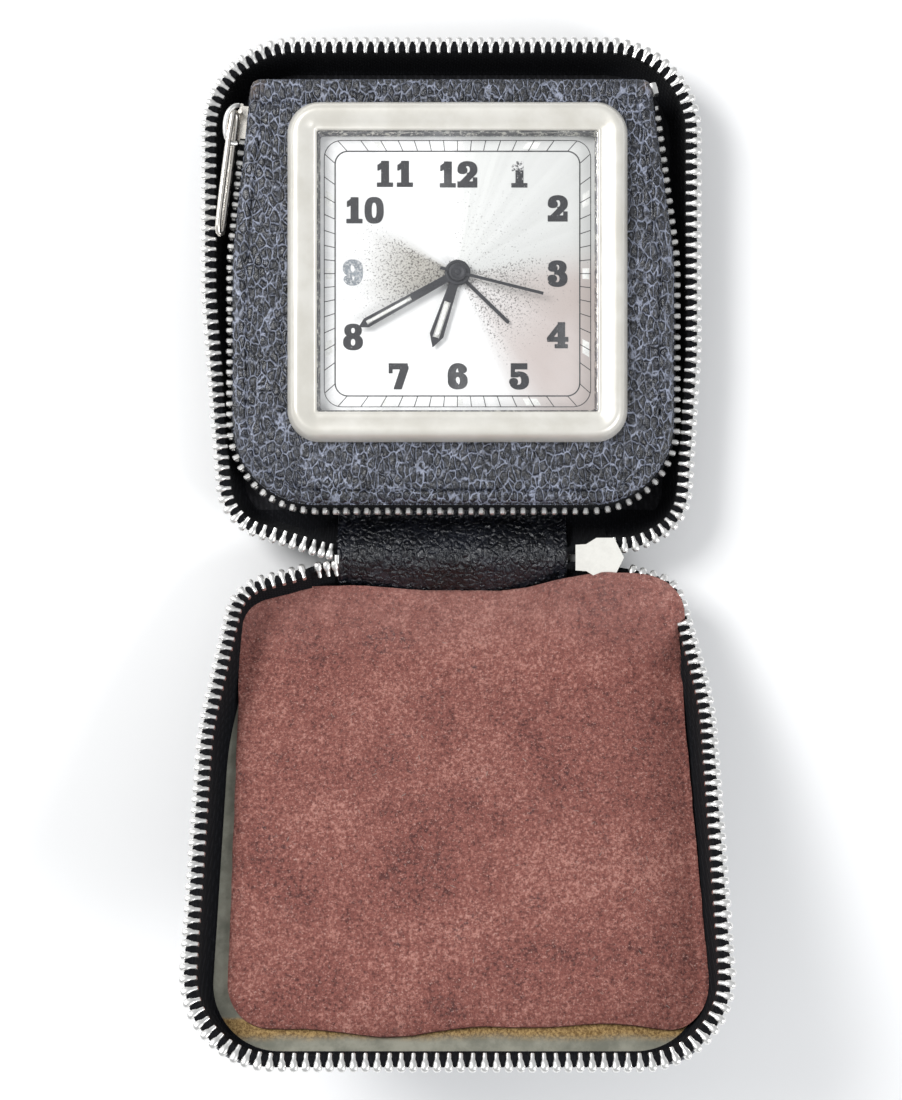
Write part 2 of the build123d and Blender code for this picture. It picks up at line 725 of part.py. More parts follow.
save(needle_hand(alarm_angle, 14.4, alarm_length, 0.6, 1.9, 1.4), "alarm_hand")
save(baton_hand(hour_angle, 14.8, hour_length, 1.4, 2.4, (5.2, 11.6, 1.1), 2.2, 1.05), "hour_hand")
save(baton_hand(minute_angle, 15.2, minute_length, 1.2, 1.7, (9.0, 17.6, 0.7), 2.0, 0.75),
     "minute_hand")
save(needle_hand(seconds_angle, 15.75, seconds_length, 0.5, 1.5, 0.35, tail=3.0), "seconds_hand")


# ---------------------------------------------------------------- controls on the rear
def winding_key(place, wing):
    """Butterfly key on its arbor, which runs up through the movement."""
    with BuildPart() as key:
        with BuildSketch(Plane.XY.offset(3.7)):
            with Locations(place):
                SlotOverall(2 * wing, 3.4)
        extrude(amount=0.9)
        with BuildSketch(Plane.XY.offset(4.6)):
            with Locations(place):
                Circle(1.8)
        extrude(amount=1.2)
        with BuildSketch(Plane.XY.offset(5.8)):
            with Locations(place):
                Circle(0.8)
        extrude(amount=pivot_top - 5.8)
    return key


def setting_knob(place, radius, stem_top):
    """Knurled knob on a stem."""
    with BuildPart() as knob:
        with BuildSketch(Plane.XY.offset(4.1)):
            with Locations(place):
                Circle(radius - 0.2)
                with PolarLocations(radius - 0.2, 20):
                    Rectangle(0.4, 0.5)
        extrude(amount=1.6)
        with BuildSketch(Plane.XY.offset(5.7)):
            with Locations(place):
                Circle(1.0)
        extrude(amount=stem_top - 5.7)
    return knob


save(winding_key(barrel_arbor, 5.6), "time_winding_key")
save(winding_key(alarm_arbor, 5.6), "alarm_winding_key")
save(setting_knob(centre_arbor, 3.0, back_plate_z - 0.1), "time_setting_knob")
save(setting_knob(alarm_set_arbor, 3.0, pivot_top), "alarm_setting_knob")

with BuildPart() as stop_button:
    with BuildSketch(Plane.XY.offset(4.0)):
        with Locations(stop_button_place):
            Circle(1.9)
    extrude(amount=0.7)
    with BuildSketch(Plane.XY.offset(4.7)):
        with Locations(stop_button_place):
            Circle(1.0)
    extrude(amount=4.0)
save(stop_button, "alarm_stop_button")

# ---------------------------------------------------------------- slider of the panel's zipper
side_run = Vector(panel_left, bend_y) - Vector(-shoulder_x, shoulder_y)
inner_slide_axis = side_run.normalized()
inner_slider_place = Vector(-shoulder_x, shoulder_y) + inner_slide_axis * 4.8
outer_face = 1.3
pull_pin_radius = 0.35


def slider_plane(z):
    """Plane on the panel's left side: X down the chain, Y inwards, at a height."""
    return Plane(origin=(inner_slider_place.X, inner_slider_place.Y, z),
                 x_dir=(inner_slide_axis.X, inner_slide_axis.Y, 0), z_dir=(0, 0, 1))


with BuildPart() as inner_slider:
    with BuildSketch(slider_plane(7.7)):
        with Locations((0, -outer_face - 0.3)):
            RectangleRounded(6.4, 0.6, 0.25)
    extrude(amount=3.8)
    for level in (7.7, 11.05):
        with BuildSketch(slider_plane(level)):
            with Locations((0, -0.8)):
                Rectangle(5.6, 1.3)
        extrude(amount=0.45)
    with BuildSketch(slider_plane(11.4)):
        with Locations((-1.2, -outer_face - 0.1)):
            Circle(pull_pin_radius)
    extrude(amount=2.6)
save(inner_slider, "inner_slider")

inner_pull_length = 21.0
with BuildPart() as inner_pull:
    with BuildSketch(slider_plane(11.6)):
        with Locations((inner_pull_length / 2 - 2.2, -outer_face - 0.1)):
            SlotOverall(inner_pull_length, 1.5)
        with Locations((-1.2, -outer_face - 0.1)):
            Circle(pull_pin_radius + running_clearance, mode=Mode.SUBTRACT)
    extrude(amount=2.3)
save(inner_pull, "inner_pull_tab")
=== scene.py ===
"""Travel alarm clock in a zip-around leather case, lying open: surfaces, finishes, light, camera.

Lengths are millimetres up to piece(), which turns them into metres.
"""
from math import acos, cos, pi, radians, sin, tan

import bmesh
import bpy
import numpy as np
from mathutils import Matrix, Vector, noise


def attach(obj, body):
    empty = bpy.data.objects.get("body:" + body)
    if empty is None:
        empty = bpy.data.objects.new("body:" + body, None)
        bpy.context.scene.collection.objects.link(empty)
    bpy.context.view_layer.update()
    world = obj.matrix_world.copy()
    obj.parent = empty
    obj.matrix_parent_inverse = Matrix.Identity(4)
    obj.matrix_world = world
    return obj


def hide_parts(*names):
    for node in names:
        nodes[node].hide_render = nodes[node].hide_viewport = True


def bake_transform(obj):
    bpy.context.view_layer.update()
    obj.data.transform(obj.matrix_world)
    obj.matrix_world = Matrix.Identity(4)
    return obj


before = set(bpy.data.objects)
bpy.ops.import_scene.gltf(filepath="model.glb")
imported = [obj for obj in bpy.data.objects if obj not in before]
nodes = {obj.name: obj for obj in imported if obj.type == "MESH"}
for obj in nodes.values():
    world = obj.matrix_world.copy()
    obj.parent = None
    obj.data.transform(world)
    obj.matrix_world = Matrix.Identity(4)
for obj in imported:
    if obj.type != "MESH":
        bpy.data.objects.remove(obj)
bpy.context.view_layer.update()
MM = 0.001
rng = np.random.default_rng(7)

# ---------------------------------------------------------------- dimensions shared with the CAD
FOLD_Z = 1.1
BACK_FOLD_Y = -38.5
LID_FOLD_Y = -51.3
LID_TILT = radians(27.0)
CREST = (-44.9, 8.913)
SPINE_X = (-19.8, 20.2)
RIM_HEIGHT = 10.1
TAPE_FOOT = 2.6
TOOTH_PITCH = 1.8
HEAD = (1.1, 3.1)
DIAL_Z = 14.0
PANEL_TOP = 36.2
PANEL_FACE_Z = 15.1
BEZEL_SIZE = 57.6
BEZEL_OPENING = 47.4

BACK_RIM = [(-24.6, -43.2), (-38.8, -39.0), (-41.8, 0), (-41.8, 43.1), (41.8, 43.1), (41.8, -10),
            (39.9, -39.2), (31.5, -43.1), (27.0, -43.1)]
BACK_RIM_RADII = [9, 60, 15, 15, 60, 9, 8]
LID_RIM = [(30.4, -0.6), (38.4, -3.2), (42.6, -25), (42.6, -83.2), (-40.6, -83.2), (-40.6, -30),
           (-36.6, -4.0), (-24.6, -0.5)]
LID_RIM_RADII = [5, 60, 14, 14, 60, 7]
LID_COVER_RADII = [5, 60, 10, 10, 60, 7]
PANEL_EDGE = [(34.2, 34.2), (38.0, 6.0), (38.0, -36.3), (-37.2, -36.3), (-37.2, 6.0), (-34.2, 34.2)]
PANEL_RADII = [40, 14, 14, 40]


# ---------------------------------------------------------------- finishes
class Finish:
    """A node material around one Principled shader. Sizes are millimetres."""

    def __init__(self, name, **constants):
        self.material = bpy.data.materials.new(name)
        self.material.use_nodes = True
        self.tree = self.material.node_tree
        self.shader = self.tree.nodes["Principled BSDF"]
        self.place = self.tree.nodes.new("ShaderNodeTexCoord").outputs["Object"]
        for socket, value in constants.items():
            self.set(socket.replace("_", " "), value)

    def set(self, socket, value):
        """Sets a shader socket to a constant, or links a node's output to it."""
        self._feed(self.shader.inputs[socket], value)

    def _feed(self, socket, value):
        if isinstance(value, bpy.types.NodeSocket):
            self.tree.links.new(value, socket)
        elif socket.type == "RGBA" and len(value) == 3:
            socket.default_value = (*value, 1.0)
        else:
            socket.default_value = value

    def node(self, kind, settings=None, **inputs):
        """A node with its settings and inputs filled in."""
        made = self.tree.nodes.new(kind)
        for key, value in (settings or {}).items():
            setattr(made, key, value)
        for key, value in inputs.items():
            self._feed(made.inputs[key.replace("_", " ")], value)
        return made

    def stretched(self, scale, turn=0.0):
        """The place on the piece, scaled along each axis and turned about Z."""
        made = self.node("ShaderNodeMapping", Vector=self.place, Scale=scale,
                         Rotation=(0.0, 0.0, turn))
        return made.outputs["Vector"]

    def bent(self, place, scale, reach):
        """A place shifted by noise, by up to about reach millimetres."""
        wander = self.node("ShaderNodeTexNoise", Vector=place, Scale=scale, Detail=3.0)
        shift = self.node("ShaderNodeVectorMath", {"operation": "SCALE"}, Scale=reach * MM)
        made = self.node("ShaderNodeVectorMath", {"operation": "ADD"})
        self._feed(shift.inputs[0], wander.outputs["Color"])
        self._feed(made.inputs[0], place)
        self._feed(made.inputs[1], shift.outputs[0])
        return made.outputs[0]

    def noise(self, size, detail=3.0, rough=0.55, warp=0.0, place=None):
        made = self.node("ShaderNodeTexNoise", Vector=place or self.place, Scale=1000.0 / size,
                         Detail=detail, Roughness=rough, Distortion=warp)
        return made.outputs["Fac"]

    def cells(self, size, feature="F1", place=None):
        made = self.node("ShaderNodeTexVoronoi", {"feature": feature}, Vector=place or self.place,
                         Scale=1000.0 / size)
        return made.outputs["Distance"]

    def wave(self, size, axis="X", warp=0.0, place=None):
        made = self.node("ShaderNodeTexWave", {"bands_direction": axis},
                         Vector=place or self.place, Scale=1000.0 / size / 6.283, Distortion=warp)
        return made.outputs["Fac"]

    def maths(self, operation, a, b=0.0):
        made = self.tree.nodes.new("ShaderNodeMath")
        made.operation = operation
        self._feed(made.inputs[0], a)
        self._feed(made.inputs[1], b)
        return made.outputs[0]

    def times(self, a, b):
        return self.maths("MULTIPLY", a, b)

    def most(self, a, b):
        return self.maths("MAXIMUM", a, b)

    def span(self, value, low, high, start=0.0, end=1.0):
        """value between low and high, clamped and mapped to start and end."""
        made = self.node("ShaderNodeMapRange", {"interpolation_type": "SMOOTHSTEP"})
        for index, given in enumerate((value, low, high, start, end)):
            self._feed(made.inputs[index], given)
        return made.outputs["Result"]

    def mix(self, amount, a, b, blend="MIX"):
        made = self.tree.nodes.new("ShaderNodeMix")
        made.data_type = "RGBA"
        made.blend_type = blend
        self._feed(made.inputs[0], amount)
        self._feed(made.inputs[6], a)
        self._feed(made.inputs[7], b)
        return made.outputs[2]

    def axes(self, place=None):
        made = self.node("ShaderNodeSeparateXYZ", Vector=place or self.place)
        return made.outputs["X"], made.outputs["Y"], made.outputs["Z"]

    def bump(self, height, depth, strength=1.0):
        """Relief of a depth in millimetres, on top of any bump set before."""
        made = self.node("ShaderNodeBump", Height=height, Distance=depth * MM, Strength=strength)
        normal = self.shader.inputs["Normal"]
        if normal.links:
            self.tree.links.new(normal.links[0].from_socket, made.inputs["Normal"])
        self.tree.links.new(made.outputs["Normal"], normal)


def leather(name, grain=1.15, gloss=0.2, wear=0.5, painted_sheen=1.0, rubs=()):
    """Black pebbled leather with painted blue-grey highlights, along the grain's creases and in
    flecks, and brown rubbed spots.

    rubs are (x, y, z, radius) in millimetres where handling has worn it brown."""
    look = Finish(name, IOR=1.5, Specular_IOR_Level=0.7)
    long = look.stretched((1.0, 0.55, 1.0))
    edge = look.cells(grain, "DISTANCE_TO_EDGE", look.bent(long, 900.0, 0.7))
    fleck = look.noise(0.5, 4.0, 0.75, place=long)
    fine = look.noise(0.25, 2.0)
    broad = look.noise(9.0, 4.0)
    body = look.mix(look.span(broad, 0.35, 0.7), (0.0035, 0.004, 0.006), (0.011, 0.0125, 0.019))
    # painted highlight: thin pale lines along the cell edges stand in for the lit sides of the
    # grain's creases, and pale flecks are painted sheen
    painted_crease_highlight = look.times(look.span(edge, 0.0, 0.13, 1.0, 0.0),
                         look.span(look.noise(1.5, 3.0), 0.36, 0.56, 0.1, 1.0))
    painted_sheen_flecks = look.span(fleck, 0.5, 0.66, 0.0, 0.5)
    painted_highlight = look.times(look.most(painted_crease_highlight, painted_sheen_flecks),
                     look.span(look.noise(5.0, 4.0, 0.6), 0.3, 0.7, 0.45 * painted_sheen, painted_sheen))
    # the painted highlight's blue-grey colour over the dark leather
    tone = look.mix(painted_highlight, body, (0.3, 0.33, 0.43))
    rubbed = look.times(look.span(look.noise(4.0, 6.0, 0.7), 0.68, 0.76), wear)
    place = look.axes()
    for *spot, radius in rubs:
        offs = [look.maths("SUBTRACT", value, at * MM) for value, at in zip(place, spot)]
        squares = [look.times(off, off) for off in offs]
        away = look.maths("SQRT", look.maths("ADD", squares[0], look.maths("ADD", *squares[1:])))
        near = look.span(away, 0.2 * radius * MM, radius * MM, 1.0, 0.0)
        patchy = look.span(look.noise(0.9, 5.0, 0.8), 0.42, 0.6, 0.1, 0.95)
        rubbed = look.most(rubbed, look.times(near, patchy))
    tone = look.mix(rubbed, tone, (0.13, 0.088, 0.064))
    look.set("Base Color", tone)
    look.set("Roughness", look.span(look.noise(2.2, 4.0), 0.3, 0.7, gloss, gloss + 0.16))
    look.bump(look.noise(2.4, 4.0, 0.6), 0.35, 1.0)
    look.bump(look.span(edge, 0.0, 0.24), 0.3, 1.0)
    look.bump(fleck, 0.12, 1.0)
    look.bump(fine, 0.06, 0.9)
    return look


def metal(name, colour, rough=0.3, dirt=(0.12, 0.1, 0.08), dirty=0.4, brushed=None, size=3.0):
    """Metal with clouded polish, scratches and dirt in patches."""
    look = Finish(name, Metallic=1.0)
    cloud = look.noise(size, 5.0, 0.65)
    spots = look.span(look.noise(size * 0.35, 6.0, 0.75), 0.58, 0.72)
    tone = look.mix(look.span(cloud, 0.35, 0.7), colour, tuple(0.84 * c for c in colour))
    look.set("Base Color", look.mix(look.times(spots, dirty), tone, dirt))
    look.set("Roughness", look.span(cloud, 0.3, 0.7, rough, rough + 0.16))
    if brushed:
        lines = look.noise(0.5, 2.0, place=look.stretched(brushed))
        look.bump(lines, 0.02, 0.5)
    look.bump(look.noise(0.7, 4.0), 0.02, 0.5)
    return look


def cloth(name, colour, pale, thread=0.42):
    """Close woven tape or lining."""
    look = Finish(name, Roughness=0.95, Specular_IOR_Level=0.15, Sheen_Weight=0.03,
                  Sheen_Roughness=0.5)
    warp_threads = look.wave(thread, "DIAGONAL", 0.6)
    weft_threads = look.wave(thread * 0.8, "X", 0.6)
    weave = look.times(warp_threads, weft_threads)
    fluff = look.span(look.noise(0.5, 4.0, 0.7), 0.55, 0.75)
    tone = look.mix(weave, tuple(0.5 * c for c in colour), colour)
    look.set("Base Color", look.mix(look.times(fluff, 0.35), tone, pale))
    look.bump(weave, 0.12, 0.8)
    look.bump(fluff, 0.05, 0.5)
    return look


black_leather = leather("leather_pebbled")
panel_leather = leather("leather_panel", rubs=[(-33.9, 35.0, 15.0, 3.2), (33.9, 35.0, 15.0, 2.2)])
spine_leather = leather("leather_crinkled", grain=1.3, gloss=0.2, wear=0.1, painted_sheen=0.04)
smooth_leather = leather("leather_fold", grain=0.7, gloss=0.3, wear=0.8, painted_sheen=0.3)
black_tape = cloth("tape_woven", (0.008, 0.0085, 0.011), (0.045, 0.046, 0.052), 0.3)
lining_cloth = cloth("lining_woven", (0.03, 0.03, 0.034), (0.09, 0.09, 0.1), 0.6)
nickel = metal("nickel_worn", (0.95, 0.94, 0.92), 0.28, dirty=0.2)
copper_worn = metal("nickel_rubbed_to_copper", (0.82, 0.78, 0.72), 0.22, (0.55, 0.3, 0.2), 0.75,
                    size=2.2)
tin = metal("tin_case", (0.72, 0.7, 0.64), 0.34, brushed=(1.0, 14.0, 1.0))
steel = metal("steel", (0.6, 0.61, 0.63), 0.28)
brass = metal("brass", (0.72, 0.5, 0.2), 0.26, (0.2, 0.12, 0.04), brushed=(12.0, 1.0, 1.0))
satin_silver = metal("satin_silver", (0.86, 0.845, 0.79), 0.34, dirty=0.12,
                     brushed=(1.0, 10.0, 1.0))
satin_silver.set("Metallic", 0.35)
# painted shade: the window edge is dark metal laid over the bezel's inner wall to stand for its
# shade; the pale specks are wear
window_edge_shade_metal = metal("window_edge_painted_shade_and_wear", (0.2, 0.2, 0.2), 0.25)
worn_through = window_edge_shade_metal.span(window_edge_shade_metal.noise(1.0, 5.0, 0.8), 0.5, 0.6)
window_edge_shade_metal.set("Base Color", window_edge_shade_metal.mix(worn_through, (0.14, 0.14, 0.15), (0.78, 0.76, 0.7)))
key_metal = metal("key_metal", (0.7, 0.62, 0.42), 0.27)


def suede_finish():
    """Red-brown suede: nap in directions, dark handling marks, pale rubbed edges and lint."""
    look = Finish("suede_red_brown", Roughness=0.95, Sheen_Weight=0.12, Sheen_Roughness=0.6,
                  Sheen_Tint=(0.95, 0.72, 0.66))
    nap = look.noise(0.6, 4.0, 0.7)
    streak = look.noise(1.6, 5.0, 0.7, place=look.stretched((1.0, 0.6, 0.6)))
    patch = look.noise(17.0, 5.0, 0.6, 0.4)
    mottled = look.maths("ADD", look.times(streak, 0.2), look.times(patch, 0.24))
    blend = look.maths("ADD", look.times(nap, 0.56), mottled)
    deep = look.mix(look.span(blend, 0.38, 0.5), (0.085, 0.023, 0.02), (0.245, 0.078, 0.061))
    tone = look.mix(look.span(blend, 0.5, 0.62), deep, (0.48, 0.222, 0.18))
    handled = look.times(look.span(look.noise(7.0, 4.0, 0.7), 0.54, 0.68),
                         look.span(look.noise(0.75, 3.0, 0.8), 0.53, 0.6))
    tone = look.mix(look.times(handled, 0.8), tone, (0.04, 0.018, 0.022))
    fibre = look.noise(0.33, 3.0, 0.8)
    tone = look.mix(look.span(fibre, 0.58, 0.66, 0.0, 0.75), tone, (0.56, 0.36, 0.31))
    tone = look.mix(look.span(fibre, 0.37, 0.44, 0.75, 0.0), tone, (0.07, 0.022, 0.022))
    near_fold = look.span(look.axes()[1], -66 * MM, -52.5 * MM, 0.0, 0.26)
    tone = look.mix(look.times(near_fold, look.span(streak, 0.3, 0.6, 0.3, 1.0)), tone,
                    (0.38, 0.2, 0.175))
    look.set("Base Color", tone)
    look.bump(nap, 0.35, 1.0)
    look.bump(fibre, 0.14, 1.0)
    return look


def board_finish():
    """Grey-green board, stained golden brown by old glue near its far end."""
    look = Finish("board_grey_green", Roughness=0.8)
    mottled = look.noise(5.0, 6.0, 0.65)
    tone = look.mix(look.span(mottled, 0.35, 0.7), (0.2, 0.2, 0.16), (0.36, 0.35, 0.285))
    _, y, z = look.axes()
    along = look.maths("ADD", look.times(y, -cos(LID_TILT)),
                       look.times(z, sin(LID_TILT)))
    wander = look.times(look.noise(12.0, 4.0), 2.2 * MM)
    height = look.maths("ADD", along, wander)
    glue_start = -LID_FOLD_Y * MM * cos(LID_TILT) + 76.2 * MM
    glue = look.times(look.span(height, glue_start, glue_start + 0.7 * MM),
                      look.span(height, glue_start + 2.7 * MM, glue_start + 4.4 * MM, 1.0, 0.0))
    grains = look.noise(0.45, 5.0, 0.8)
    golden = look.mix(look.span(grains, 0.4, 0.62), (0.16, 0.085, 0.022), (0.5, 0.33, 0.13))
    look.set("Base Color", look.mix(glue, tone, golden))
    look.bump(mottled, 0.15, 0.6)
    look.bump(grains, 0.1, 0.5)
    return look


def dial_finish():
    """Silvered dial, brushed out from its centre, with painted shade in the dark sectors of its
    brushed sheen, and brown-black speckled tarnish in fans.
    """
    look = Finish("dial_sunburst", Metallic=0.25, Anisotropic=0.6)
    x, y, _ = look.axes()
    across = look.maths("SUBTRACT", x, HEAD[0] * MM)
    upward = look.maths("SUBTRACT", y, HEAD[1] * MM)
    angle = look.maths("ARCTAN2", across, upward)
    reach = look.maths("SQRT", look.maths("ADD", look.times(across, across),
                                          look.times(upward, upward)))

    def fan(middle, half, soft):
        """1 within an angle of a direction from the centre, clockwise from twelve."""
        turned = look.maths("SUBTRACT", angle, radians(middle if middle < 180 else middle - 360))
        off = look.maths("ABSOLUTE", turned)
        return look.span(off, radians(half), radians(half + soft), 1.0, 0.0)

    rays = look.noise(1.0, 3.0, 0.7, place=look.node(
        "ShaderNodeCombineXYZ", X=look.times(angle, 0.011),
        Y=look.times(reach, 0.02)).outputs["Vector"])
    tone = look.mix(look.span(rays, 0.3, 0.7), (0.9, 0.9, 0.89), (0.97, 0.97, 0.965))
    # painted shade: the brushed sheen's dark sector from twelve to four
    painted_dark_sector = look.times(fan(58, 48, 14), 0.62)
    tone = look.mix(painted_dark_sector, tone, (0.6, 0.61, 0.585))
    # partly a pinkish tarnish tint, partly painted shade of the sheen's dark sector at the lower
    # right
    painted_shade_and_tarnish_tint = look.times(fan(118, 20, 26), look.span(reach, 0.003, 0.02, 0.25, 0.75))
    tone = look.mix(painted_shade_and_tarnish_tint, tone, (0.52, 0.42, 0.385))
    # painted shade: the sheen's dark sector beside nine, near the centre
    painted_shade_beside_nine = look.times(fan(272, 18, 20),
                             look.span(reach, 0.006, 0.019, 0.8, 0.0))
    tone = look.mix(painted_shade_beside_nine, tone, (0.42, 0.39, 0.33))
    speck = look.noise(0.36, 3.0, 0.85)
    near = look.span(reach, 0.008, 0.0235, 1.0, 0.2)
    tarnished = look.most(look.times(fan(270, 26, 12), near),
                          look.times(fan(116, 34, 14), look.times(near, 0.92)))
    tarnished = look.most(tarnished, look.times(fan(45, 48, 15), look.times(near, 0.55)))
    tarnished = look.most(tarnished, look.span(reach, 0.002, 0.0042, 1.0, 0.0))
    limit = look.maths("SUBTRACT", 0.74, look.times(tarnished, 0.2))
    spotted = look.times(look.maths("GREATER_THAN", speck, limit),
                         look.span(tarnished, 0.02, 0.15))
    look.set("Base Color", look.mix(look.times(spotted, 0.85), tone, (0.06, 0.05, 0.045)))
    look.set("Roughness", look.span(rays, 0.3, 0.7, 0.3, 0.42))
    look.bump(rays, 0.012, 0.5)
    tangent = look.node("ShaderNodeTangent", {"direction_type": "RADIAL", "axis": "Z"})
    look.set("Tangent", tangent.outputs["Tangent"])
    return look


def bezel_finish():
    """Satin champagne plating with a few dark stains."""
    look = Finish("bezel_champagne", Metallic=0.35)
    cloud = look.noise(7.0, 5.0, 0.6)
    tone = look.mix(look.span(cloud, 0.35, 0.7), (0.69, 0.665, 0.6), (0.76, 0.74, 0.685))
    stain = look.span(look.noise(2.2, 6.0, 0.8), 0.71, 0.77)
    look.set("Base Color", look.mix(look.times(stain, 0.5), tone, (0.2, 0.2, 0.13)))
    look.set("Roughness", look.span(cloud, 0.3, 0.7, 0.3, 0.4))
    look.bump(look.noise(0.4, 3.0), 0.012, 0.5)
    return look


def ink_finish(name, colour, pale, worn, flaked_above=None):
    """Printing ink, thinned and chipped in specks, and flaked off above a height on the dial."""
    look = Finish(name)
    speck = look.noise(0.4, 4.0, 0.8)
    chips = look.span(speck, worn, worn + 0.06)
    if flaked_above:
        high = look.span(look.axes()[1], flaked_above * MM, (flaked_above + 0.3) * MM)
        chips = look.most(chips, look.times(high, look.span(speck, 0.44, 0.5)))
    wash = look.span(look.noise(2.0, 4.0), 0.35, 0.75, 0.0, 0.5)
    tone = look.mix(wash, colour, tuple(2.2 * c for c in colour))
    look.set("Base Color", look.mix(chips, tone, pale))
    look.set("Roughness", look.span(speck, 0.4, 0.7, 0.45, 0.65))
    look.bump(speck, 0.02, 0.5)
    return look


def crystal_finish():
    """Clear window with dust, fine scratches and a faint haze."""
    look = Finish("crystal_dusty", Roughness=0.08, IOR=1.5, Base_Color=(0.95, 0.96, 0.97))
    haze = look.span(look.noise(11.0, 3.0), 0.45, 0.75, 0.02, 0.06)
    dust = look.span(look.noise(0.35, 2.0, 0.8), 0.76, 0.8, 0.0, 0.4)
    scratch = look.noise(0.8, 2.0, 0.6, 1.2, look.stretched((9.0, 0.5, 1.0), 0.7))
    lines = look.span(scratch, 0.72, 0.74, 0.0, 0.12)
    look.set("Alpha", look.most(haze, look.most(dust, lines)))
    return look


suede = suede_finish()
board = board_finish()
dial_metal = dial_finish()
bezel_metal = bezel_finish()
ink = ink_finish("numeral_ink", (0.009, 0.0095, 0.013), (0.3, 0.3, 0.31), 0.63)
flaked_ink = ink_finish("numeral_ink_flaked", (0.012, 0.0125, 0.016), (0.7, 0.7, 0.69), 0.6, 20.6)
faded_ink = ink_finish("numeral_ink_faded", (0.16, 0.18, 0.2), (0.5, 0.51, 0.52), 0.5)
fine_ink = ink_finish("track_ink", (0.02, 0.02, 0.022), (0.35, 0.35, 0.33), 0.62)
pale_ink = ink_finish("track_paint", (0.74, 0.74, 0.71), (0.9, 0.9, 0.88), 0.5)
lint_fibre = cloth("lint_fibre", (0.5, 0.42, 0.38), (0.7, 0.62, 0.56), 0.2)
hand_paint = ink_finish("hand_paint", (0.012, 0.0125, 0.017), (0.1, 0.1, 0.12), 0.64)
lume = ink_finish("luminous_paint", (0.6, 0.6, 0.56), (0.92, 0.92, 0.9), 0.5)
crystal_clear = crystal_finish()
thread_black = cloth("thread_waxed", (0.02, 0.02, 0.024), (0.12, 0.12, 0.13), 0.2)


# ---------------------------------------------------------------- building pieces
def piece(name, points, faces, look, body, replaced=(), sharp=None, ride=True):
    """A mesh piece from points in millimetres, riding on a body."""
    mesh = bpy.data.meshes.new(name)
    mesh.from_pydata((np.asarray(points, float) * MM).tolist(), [], faces)
    shell = bmesh.new()
    shell.from_mesh(mesh)
    bmesh.ops.recalc_face_normals(shell, faces=shell.faces)
    shell.to_mesh(mesh)
    shell.free()
    mesh.materials.append(look.material)
    mesh.shade_smooth()
    if sharp:
        mesh.set_sharp_from_angle(angle=radians(sharp))
    made = bpy.data.objects.new(name, mesh)
    bpy.context.scene.collection.objects.link(made)
    if ride:
        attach(made, body)
    if replaced:
        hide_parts(*replaced)
    return made


def on_back(x, y, height):
    """Points over the clock half's flat back."""
    return np.stack(np.broadcast_arrays(x, y, height), -1)


def on_lid(x, y, height):
    """Points over the lid: y runs back towards the fold, height is from the outer face."""
    x, y, height = np.broadcast_arrays(x, y, height)
    rise = height - FOLD_Z
    return np.stack([x, LID_FOLD_Y + y * cos(LID_TILT) + rise * sin(LID_TILT),
                     FOLD_Z - y * sin(LID_TILT) + rise * cos(LID_TILT)], -1)


def rounded(corners, radii, step=0.4, closed=False):
    """Evenly spaced points along a line with rounded inner corners, and their directions."""
    spots = [Vector(corner) for corner in corners]
    run = [] if closed else [spots[0]]
    count = len(spots)
    for index, radius in enumerate(radii, 0 if closed else 1):
        corner = spots[index]
        to_last = (spots[index - 1] - corner).normalized()
        to_next = (spots[(index + 1) % count] - corner).normalized()
        half = acos(max(-1.0, min(1.0, to_last.dot(to_next)))) / 2
        centre = corner + (to_last + to_next).normalized() * (radius / sin(half))
        first = corner + to_last * (radius / tan(half)) - centre
        turn = pi - 2 * half
        if to_last.x * to_next.y - to_last.y * to_next.x > 0:
            turn = -turn
        steps = max(3, int(abs(turn) * radius / step))
        for k in range(steps + 1):
            a = turn * k / steps
            run.append(centre + Vector((first.x * cos(a) - first.y * sin(a),
                                        first.x * sin(a) + first.y * cos(a))))
    run.append(run[0] if closed else spots[-1])
    line = np.array([tuple(p) for p in run])
    lengths = np.concatenate([[0], np.cumsum(np.hypot(*np.diff(line, axis=0).T))])
    number = max(8, round(lengths[-1] / step))
    at = np.linspace(0, lengths[-1], number + 1)
    if closed:
        at = at[:-1]
    points = np.stack([np.interp(at, lengths, line[:, k]) for k in (0, 1)], -1)
    if closed:
        ahead = np.roll(points, -1, 0) - np.roll(points, 1, 0)
    else:
        ahead = np.gradient(points, axis=0)
    ahead /= np.hypot(*ahead.T)[:, None]
    return points, ahead, lengths[-1]


def inward_of(ahead):
    """Right-hand side of each direction: the inside of a clockwise line."""
    return np.stack([ahead[:, 1], -ahead[:, 0]], -1)


def lattice(rows, columns, close_rows=False, close_columns=False):
    """Quads over a grid of points stored row by row."""
    quads = []
    for i in range(rows if close_rows else rows - 1):
        for j in range(columns if close_columns else columns - 1):
            a, b = i % rows * columns, (i + 1) % rows * columns
            k = (j + 1) % columns
            quads.append((a + j, a + k, b + k, b + j))
    return quads


def tube(rows, around):
    """Faces of rings of points stored row by row, capped at both ends."""
    last = (rows - 1) * around
    return (lattice(rows, around, close_columns=True)
            + [tuple(range(around)), tuple(last + k for k in reversed(range(around)))])


def two_sheets(rows, columns):
    """Faces of the solid between two grids of points, the second stored after the first."""
    count = rows * columns
    quads = lattice(rows, columns)
    ring = ([i * columns for i in range(rows)]
            + [(rows - 1) * columns + j for j in range(1, columns)]
            + [i * columns + columns - 1 for i in range(rows - 2, -1, -1)]
            + list(range(columns - 2, 0, -1)))
    return (quads + [tuple(count + k for k in reversed(quad)) for quad in quads]
            + [(a, b, count + b, count + a) for a, b in zip(ring, ring[1:] + ring[:1])])


